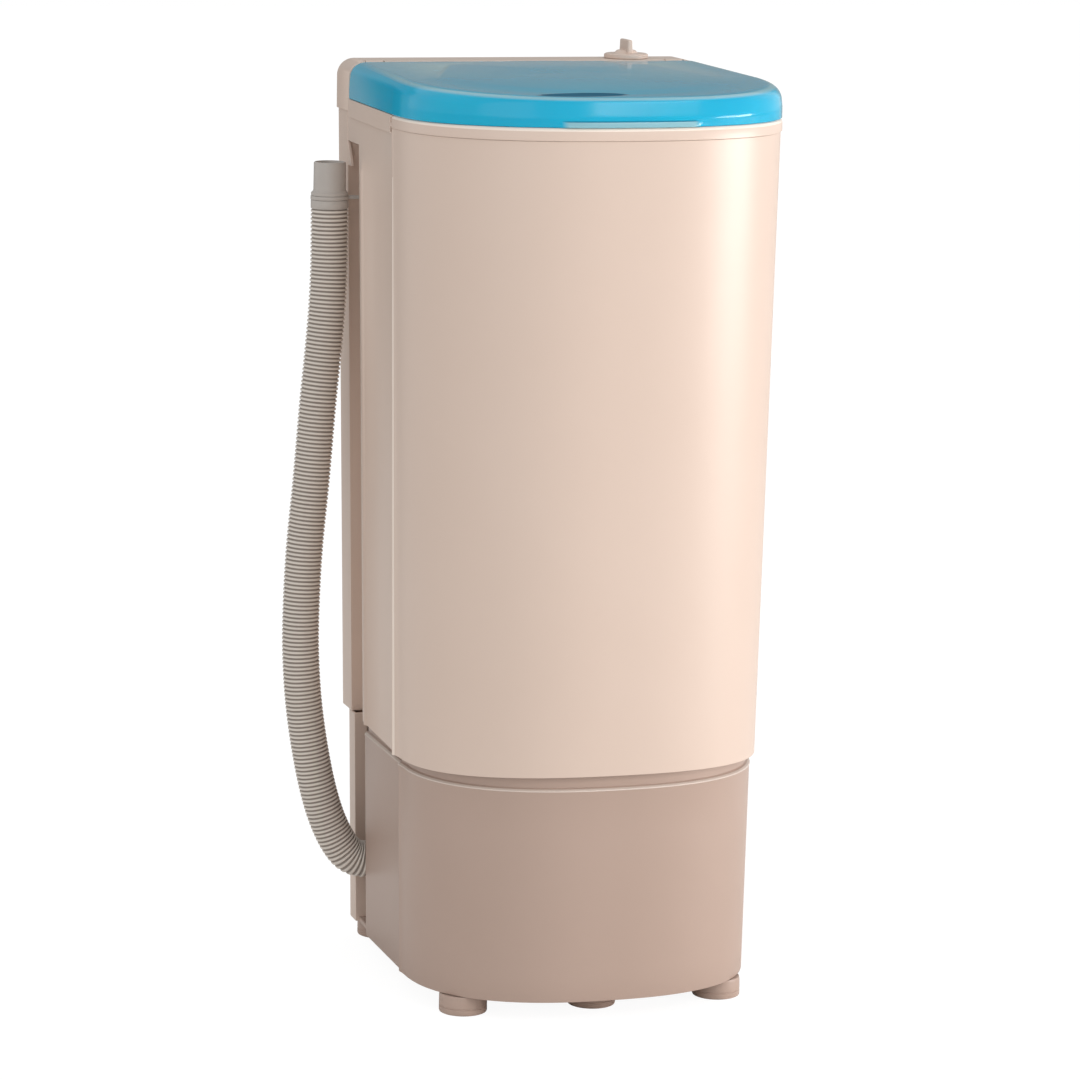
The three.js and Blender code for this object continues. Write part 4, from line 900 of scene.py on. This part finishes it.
def makeBoss():
    # the post under the lid that presses the switch's plunger
    low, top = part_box("switch_plunger")[1].z / mm + 0.3, 799.6
    bm = bmesh.new()
    profile = [(0, low), (3.3, low), (3.9, low + 0.6), (4.3, top), (0, top)]
    spinProfile(bm, profile, (plunger["x"], plunger["y"]), 32)
    finish(bm, "lidSwitchPost", "lid", tintedLid)


makeLid()
makeBoss()
print("lid made")

# Timer knob: a round skirt, a low hub and a thin upright fin
knob = {"x": 101, "y": 160, "bottom": 806.3, "radius": 20, "skirt": 4.5, "hub": 10, "hubHigh": 7.5,
        "finHalf": 2.5, "finLong": 26, "finFoot": 4, "top": 823, "teeth": 36, "toothHalf": 0.45,
        "crown": 1.2, "sides": 72}


def makeKnob():
    x, y, low, r = knob["x"], knob["y"], knob["bottom"], knob["radius"]
    hub, high, skirt = knob["hub"], low + knob["hubHigh"], low + knob["skirt"]
    profile = [(3.4, low), (r - 0.4, low), (r, low + 0.4), (r, low + 2.6), (r - 0.5, low + 3.7),
               (r - 1.8, low + 4.3), (r - 4, skirt), (hub + 1.0, skirt + 0.1), (hub, skirt + 0.8),
               (hub - 0.4, high - 1.6),
               (hub - 1.6, high - 0.5), (hub - 4, high), (0, high)]
    bm = bmesh.new()
    spinProfile(bm, profile, (x, y), knob["sides"])
    for i in range(knob["teeth"]):  # fine grip teeth round the skirt
        turn = 2 * math.pi * i / knob["teeth"]
        tooth = addBlock(bm, (r - 0.8, -knob["toothHalf"], low + 0.6), (r + 0.02, knob["toothHalf"], low + 3.2))
        bmesh.ops.rotate(bm, verts=tooth, cent=(0, 0, 0), matrix=Matrix.Rotation(turn, 3, "Z"))
        bmesh.ops.translate(bm, verts=tooth, vec=(x, y, 0))
    fin = addBlock(bm, (x - knob["finHalf"], y - knob["finLong"] / 2, low + knob["finFoot"]),
                   (x + knob["finHalf"], y + knob["finLong"] / 2, knob["top"]))
    for v in fin:
        if v.co.z > low + 10:  # the fin narrows a little upwards
            v.co.x = x + (v.co.x - x) * 0.88
            v.co.y = y + (v.co.y - y) * 0.94
    crown = [e for e in bm.edges if all(v in fin for v in e.verts) and max(v.co.z for v in e.verts) > low + 10]
    bmesh.ops.bevel(bm, geom=crown, offset=knob["crown"], segments=4, profile=0.5, affect="EDGES", material=-1)
    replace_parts(finish(bm, "timerKnob", "timer", mouldedCream, angle=32), "timer_knob")


makeKnob()
print("knob made")

# Rear panel with louvres, and the service cover under it
rear = {"shellRear": 111, "flangeFront": 147, "cornerRadius": 4, "channel": 15, "louvres": 9, "louvrePitch": 14,
        "louvreLow": 470, "louvreHalf": 62, "louvreX": 0}
cover = {"front": 140, "return": 12, "radius": 26, "bottom": 17.9, "fuller": 2.2, "louvres": 6,
         "louvrePitch": 13, "louvreLow": 72, "louvreHalf": 44, "louvreX": -40, "cord": (90, 120, 7.3)}
base = {"bottom": 17.4, "plinthTop": 22, "ledge": 206, "lowInset": 17, "ledgeInset": 14.2, "neckInset": 17.5,
        "neckTop": 219, "channelX": 117, "channelY": 95, "sideTaper": 0.6, "collarTaper": 5.4, "bead": 1.3,
        "rear": 172, "rearRadius": 28, "wall": 3, "collarInset": 13.2, "collarTop": 231}


def baseInset(z):
    run = base["ledge"] - base["bottom"]
    return base["lowInset"] + (base["ledgeInset"] - base["lowInset"]) * (z - base["bottom"]) / run


def rearSide(z):
    inset = bodyInset(z)
    channelX = sideX(rear["shellRear"]) - inset - rear["channel"]
    r = rear["cornerRadius"]
    x = sideX(casing["rearReach"] - r) - inset
    side = [(channelX, rear["shellRear"] + 0.3), (channelX, rear["flangeFront"]), (x, rear["flangeFront"])]
    return side + arcPoints(x - r, casing["rearReach"] - r, r, 0, 90, 6)


def coverSide(z):
    x, r = sideX(casing["rearReach"] - cover["radius"]) - baseInset(z) + cover["fuller"], cover["radius"]
    flange = [(x - cover["return"], cover["front"]), (x, cover["front"])]
    return flange + arcPoints(x - r, casing["rearReach"] - r, r, 0, 90, 10)


def makePanel(name, node, sideAt, levels):
    # a sheet round the back, with a flange at either side
    bm = bmesh.new()
    loft(bm, [atHeight(sideAt(z) + mirrored(sideAt(z)), z) for z in levels], closed=False)
    faceOut(bm, (0, casing["rearReach"], (levels[0] + levels[-1]) / 2), (0, 1, 0))
    piece = finish(bm, name, "casing", mouldedCream, bevel=0.6, wall=casing["wall"], angle=40,
                   recalc=False)
    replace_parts(piece, node)
    return piece


def makeLouvres(name, look):
    # hooded vents: short wedges that stand proud of the panel
    x, half, y = look["louvreX"], look["louvreHalf"], casing["rearReach"]
    bm = bmesh.new()
    for i in range(look["louvres"]):
        z = look["louvreLow"] + i * look["louvrePitch"]
        for v in addBlock(bm, (x - half, y - 1, z), (x + half, y + 1.5, z + 6)):
            if v.co.z > z + 5 and v.co.y > y:
                v.co.y = y + 0.05
                v.co.z += 1.5
    finish(bm, name, "casing", mouldedCream, bevel=0.5)


makePanel("rearPanel", "rear_panel", rearSide, (casing["seam"] + 0.3, 350, 500, 650, casing["rimBottom"] - 0.3))
coverPiece = makePanel("serviceCover", "service_cover", coverSide,
                       (cover["bottom"], 24, 60, 110, 170, casing["seam"] - 0.3))
cordX, cordZ, cordRadius = cover["cord"]
cordPlace = Matrix.Translation((cordX, casing["rearReach"], cordZ)) @ Matrix.Rotation(math.pi / 2, 4, "X")
cutFrom(coverPiece, [roundShape(cordRadius, 30, cordPlace, 36)])
makeLouvres("rearLouvres", rear)
makeLouvres("coverLouvres", cover)
print("rear made")

# Base: a plinth on five feet, a wall with a ledge and a recessed neck, and a recess each side for the hose


def plinthPlan(inset, z):
    # full width behind the walls' rear corners, and just inside them in front
    back, r = casing["rearReach"] - 2.8, base["rearRadius"]
    start, edge = casing["cornerY"] + 2.5, base["channelY"] - 4
    x = sideX(back - r) - inset - casing["panelStep"]
    side = [(sideX(y) - inset - casing["panelStep"] - tuck, y)
            for y, tuck in ((start, 1.2), (edge, 1.2), (edge + 0.2, 0))]
    side += arcPoints(x - r, back - r, r, 0, 90, 10)
    return atHeight(frontCurve(inset + 1.2) + side + mirrored(side), z)


def wallPlan(inset, z, taper=base["sideTaper"]):
    # the wall above the plinth steps in behind the channel's front to leave room for the hose
    corner, channelX, channelY = casing["cornerY"], base["channelX"], base["channelY"]
    out = sideX(corner) - inset
    side = [(out + base["bead"] * rise, corner - 0.8 + 1.9 * i) for i, rise in enumerate((0.45, 0.9, 1.0, 0.4))]
    side += [(out - casing["panelStep"] * 0.8, corner + 6.4), (out - casing["panelStep"], corner + 7.4)]
    side += arcPoints(out - taper - 5, channelY - 5, 5, 0, 90, 6)
    side += arcPoints(channelX + 3, channelY + 3, 3, 270, 180, 5)
    side += arcPoints(channelX - 6, base["rear"] - 6, 6, 0, 90, 6)
    return atHeight(frontCurve(inset)[1:-1] + side + mirrored(side), z)


def makePlinth():
    low, top = base["bottom"], base["plinthTop"]
    lowInset, topInset = baseInset(low), baseInset(top)
    levels = [(lowInset + 1.2, low), (lowInset + 0.3, low + 0.4), (lowInset, low + 1.4), (topInset, top - 0.8),
              (topInset + 0.8, top)]
    bm = bmesh.new()
    loft(bm, [plinthPlan(inset, z) for inset, z in levels], capFirst=True, capLast=True)
    bmesh.ops.recalc_face_normals(bm, faces=bm.faces)
    finish(bm, "basePlinth", "casing", mouldedTaupe, angle=30)


def makeWall():
    low, ledge, neck, collar = base["bottom"], base["ledge"], base["neckInset"], base["collarInset"] + 0.6
    lowInset, ledgeInset = baseInset(low), baseInset(ledge)
    levels = [(lowInset + 1.1, low), (lowInset + 0.3, low + 0.3), (lowInset, low + 1.2)]
    levels += [(baseInset(z), z) for z in (40, 75, 120, 165, ledge - 2.8)]
    levels += [(ledgeInset - 0.5, ledge - 1.4), (ledgeInset - 0.1, ledge - 0.5),
               (ledgeInset + 1.6, ledge + 0.6), (neck - 0.4, ledge + 1.2), (neck, ledge + 1.6),
               (neck, base["neckTop"] - 1)]
    rings = [wallPlan(inset, z) for inset, z in levels]
    rings += [wallPlan(collar, z, base["collarTaper"]) for z in (base["neckTop"] + 2, base["collarTop"])]
    bm = bmesh.new()
    loft(bm, rings)
    faceOut(bm, (0, -166, 120), (0, -1, 0))
    piece = finish(bm, "baseWall", "casing", mouldedTaupe, angle=32, wall=base["wall"],
                   recalc=False)
    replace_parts(piece, "base")
    # a painted highlight on the ledge's upward rounding
    paintHighlight(piece, highlightTaupe, lambda at, normal: ledge - 1.2 < at.z < ledge + 0.3 and normal.z > 0.1)


def makeFoot(number):
    # a moulded foot with a rounded tread, a waist line and a rim under the plinth
    low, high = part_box(f"foot_{number}")
    x, y, r, top = (low.x + high.x) / 2 / mm, (low.y + high.y) / 2 / mm, (high.x - low.x) / 2 / mm, high.z / mm
    profile = [(0, 0.6), (r - 7, 0.6), (r - 6, 0), (r - 1.6, 0), (r - 0.5, 0.5), (r, 1.6), (r, 5.2),
               (r - 0.5, 5.6), (r - 0.5, 6.2), (r, 6.6), (r - 0.1, top - 2), (r - 0.6, top), (0, top)]
    bm = bmesh.new()
    spinProfile(bm, profile, (x, y), 56)
    piece = finish(bm, f"foot{number}", "casing", mouldedTaupe, angle=30)
    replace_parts(piece, f"foot_{number}")


makePlinth()
makeWall()
for number in range(1, 6):
    makeFoot(number)
print("base and feet made")

# Basket: thin perforated sheet with a rolled rim, closed by a pressed floor
basket = {"radius": 123.5, "bottom": 340, "top": 742, "columns": 72, "rows": 30, "hole": 2.3, "sheet": 0.8,
          "clearRows": 3, "roll": 2.2, "hub": 9.4}


def makeBasket():
    y, r, low = casing["drumY"], basket["radius"], basket["bottom"]
    rows, columns = basket["rows"], basket["columns"]
    wallLow, wallTop = low + 9, basket["top"] - 5
    profile = [(basket["hub"], low + 0.4), (70, low + 0.4), (r - 9, low + 0.4), (r - 4, low + 2),
               (r - 1, low + 5)]
    profile += [(r, wallLow + (wallTop - wallLow) * i / rows) for i in range(rows + 1)]
    bm = bmesh.new()
    spinProfile(bm, profile, (0, y), columns)
    bmesh.ops.remove_doubles(bm, verts=bm.verts, dist=mergeDistance)
    bmesh.ops.recalc_face_normals(bm, faces=bm.faces)
    chosen = []
    for face in bm.faces:
        centre = face.calc_center_median()
        if wallLow < centre.z < wallTop and abs(face.normal.z) < 0.1:
            row = int((centre.z - wallLow) / (wallTop - wallLow) * rows)
            column = round(math.atan2(centre.y - y, centre.x) / (2 * math.pi) * columns - 0.5)
            if (row + column) % 2 == 0 and basket["clearRows"] <= row <= rows - basket["clearRows"]:
                chosen.append(face)
    bmesh.ops.inset_individual(bm, faces=chosen, thickness=basket["hole"] * 0.75, depth=0)
    corners = list({v for face in chosen for v in face.verts})
    bmesh.ops.bevel(bm, geom=corners, offset=basket["hole"] * 0.8, segments=1, profile=0.5, affect="VERTICES",
                    material=-1)
    holes = [f for f in bm.faces if len(f.verts) == 8 and wallLow < f.calc_center_median().z < wallTop]
    bmesh.ops.delete(bm, geom=holes, context="FACES_KEEP_BOUNDARY")
    faceOut(bm, (0, y - r, 500), (0, -1, 0))
    piece = finish(bm, "spinBasket", "basket", rolledStainless, wall=basket["sheet"], angle=40,
                   recalc=False)
    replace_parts(piece, "spin_basket")
    print("basket made", len(piece.data.polygons))


def makeHem():
    y, r, roll = casing["drumY"], basket["radius"], basket["roll"]
    rolled = arcPoints(r - 2.4, basket["top"] - 2.4, roll, -60, 240, 15)
    bm = bmesh.new()
    spinProfile(bm, [(r - 0.8, basket["top"] - 6)] + rolled + [(r - 4.0, basket["top"] - 5.6)], (0, y), 96)
    finish(bm, "basketRim", "basket", rolledStainless, angle=50)


makeBasket()
makeHem()

# The solids that keep their shape, each with its own finish
screws = ["cover_screw_left", "cover_screw_right"]
screws += [f"panel_screw_{side}_{row}" for side in ("left", "right") for row in ("upper", "lower")]
coatNodes(["outer_tub", "basket_hub"], mouldedGrey)
coatNodes(["lid_switch", "timer_body", "switch_plunger", "motor_capacitor"], mouldedIvory)
coatNodes(["shaft_seal", "brake_cable", "cord_inlet"], mouldedRubber)
coatNodes(["drain_pipe", "hose_gland"], drainRubber)
coatNodes(["lid_arm_left", "lid_arm_right"], mouldedCream)
coatNodes(["hinge_pin_left", "hinge_pin_right", "timer_shaft", "drive_shaft", "bearing_lower", "bearing_upper",
           "brake_post", *screws], platedSteel)
coatNodes(["motor_housing", "motor_plate", "motor_spring_1", "motor_spring_2", "motor_spring_3"], dippedSteel)
coatNodes(["brake_drum", "brake_lever"], castAluminium)
coatNodes(["motor_stator"], enamelledCopper)
coatNodes(["motor_rotor"], stackedSheet)
print("solids coated")

# Floor, light and background
studio = {"floor": "F4F2EF", "floorGlow": 0.93, "floorShade": 0.14, "floorHalf": 14, "world": 0.71, "card": 0.3,
          "cardLow": 0.4, "cardDark": 0.06, "cardTint": (0.92, 1, 1, 1), "cardTurn": (1.15, 1.65)}
lamps = {"key": {"place": (2.9, -1.3, 0.6), "target": (0, 0, 0.4), "size": (1.6, 0.55), "power": 52,
                 "colour": (1.0, 0.95, 0.92), "shape": "RECTANGLE"},
         "top": {"place": (1.15, -2.5, 2.0), "target": (0, 0, 0.7), "size": (1.8, 0.35), "power": 15,
                 "colour": (1.0, 0.98, 0.96), "shape": "RECTANGLE"},
         "fill": {"place": (-2.2, -2.6, 1.6), "target": (0, 0, 0.45), "size": (2.4, 2.4), "power": 10,
                  "colour": (1.0, 0.98, 0.96), "shape": "DISK"}}


def addLamp(name, look):
    data = bpy.data.lights.new(name, "AREA")
    data.shape = look["shape"]
    data.size, data.size_y = look["size"]
    data.energy = look["power"]
    data.color = look["colour"]
    lamp = bpy.data.objects.new(name, data)
    scene.collection.objects.link(lamp)
    lamp.location = look["place"]
    lamp.rotation_euler = (Vector(look["target"]) - Vector(look["place"])).to_track_quat("-Z", "Y").to_euler()


def addStage(name, bm, material):
    piece = addObject(name, bm)
    piece.data.materials.append(material)
    return piece


def emptyMaterial(name):
    material = bpy.data.materials.new(name)
    material.use_nodes = True
    material.node_tree.nodes.clear()
    return material, material.node_tree


def makeFloor():
    # white studio paper: it shows as the page does, and keeps the soft shadow under the machine
    material, tree = emptyMaterial("studioPaper")
    seen = addNode(tree, "ShaderNodeLightPath").outputs["Is Camera Ray"]
    paper = addNode(tree, "ShaderNodeBsdfDiffuse", {"Color": linear(studio["floor"])}).outputs[0]
    thin = addNode(tree, "ShaderNodeBsdfDiffuse", {"Color": (studio["floorShade"],) * 3 + (1,)}).outputs[0]
    glow = addNode(tree, "ShaderNodeEmission",
                   {"Color": (1, 1, 1, 1), "Strength": studio["floorGlow"]}).outputs[0]
    both = addNode(tree, "ShaderNodeAddShader", {0: thin, 1: glow}).outputs[0]
    pick = addNode(tree, "ShaderNodeMixShader", {0: seen, 1: paper, 2: both}).outputs[0]
    addNode(tree, "ShaderNodeOutputMaterial", {"Surface": pick})
    bm = bmesh.new()
    bmesh.ops.create_grid(bm, x_segments=4, y_segments=4, size=studio["floorHalf"])
    addStage("floor", bm, material)


def makeCard(name, place, halfSize, high, low):
    # a dim grey card behind that glows and only gloss mirrors: a painted reflection, with its brightness above
    # and below the lid's height
    material, tree = emptyMaterial(name)
    spot = addNode(tree, "ShaderNodeTexCoord").outputs["Object"]
    height = addNode(tree, "ShaderNodeSeparateXYZ", {0: spot}).outputs["Z"]
    level = spread(tree, height, low, high, *studio["cardTurn"])
    dim = addNode(tree, "ShaderNodeEmission", {"Color": studio["cardTint"], "Strength": level}).outputs[0]
    addNode(tree, "ShaderNodeOutputMaterial", {"Surface": dim})
    upright = Matrix.Translation(place) @ Matrix.Rotation(math.pi / 2, 4, "X")
    upright = upright @ Matrix.Diagonal((*halfSize, 1, 1))
    bm = bmesh.new()
    bmesh.ops.create_grid(bm, x_segments=1, y_segments=1, size=1, matrix=upright)
    card = addStage(name, bm, material)
    for kind in ("camera", "diffuse", "transmission", "shadow", "volume_scatter"):
        setattr(card, "visible_" + kind, False)


def makeWorld():
    # even daylight for the object, and plain white where the camera, gloss or clear plastic looks past it
    world = bpy.data.worlds.new("studio")
    scene.world = world
    world.use_nodes = True
    tree = world.node_tree
    paths = addNode(tree, "ShaderNodeLightPath").outputs
    direct = addNode(tree, "ShaderNodeMath", {0: paths["Is Camera Ray"], 1: paths["Is Glossy Ray"]},
                     operation="MAXIMUM").outputs[0]
    white = addNode(tree, "ShaderNodeMath", {0: direct, 1: paths["Is Transmission Ray"]},
                    operation="MAXIMUM").outputs[0]
    feed(tree, tree.nodes["Background"], {0: (1, 1, 1, 1), 1: spread(tree, white, studio["world"], 1.0)})


for name, look in lamps.items():
    addLamp(name, look)
makeWorld()
makeFloor()
makeCard("farCard", (0, 4.2, 1.75), (3.5, 1.7), studio["card"], studio["cardLow"])
# a dark card that only gloss mirrors: a painted dark reflection on the lid's left side
makeCard("lowCard", (-0.95, 2.4, 0.66), (0.45, 0.65), studio["cardDark"], studio["cardDark"])
print("stage ready")

scene.view_settings.view_transform = "Standard"
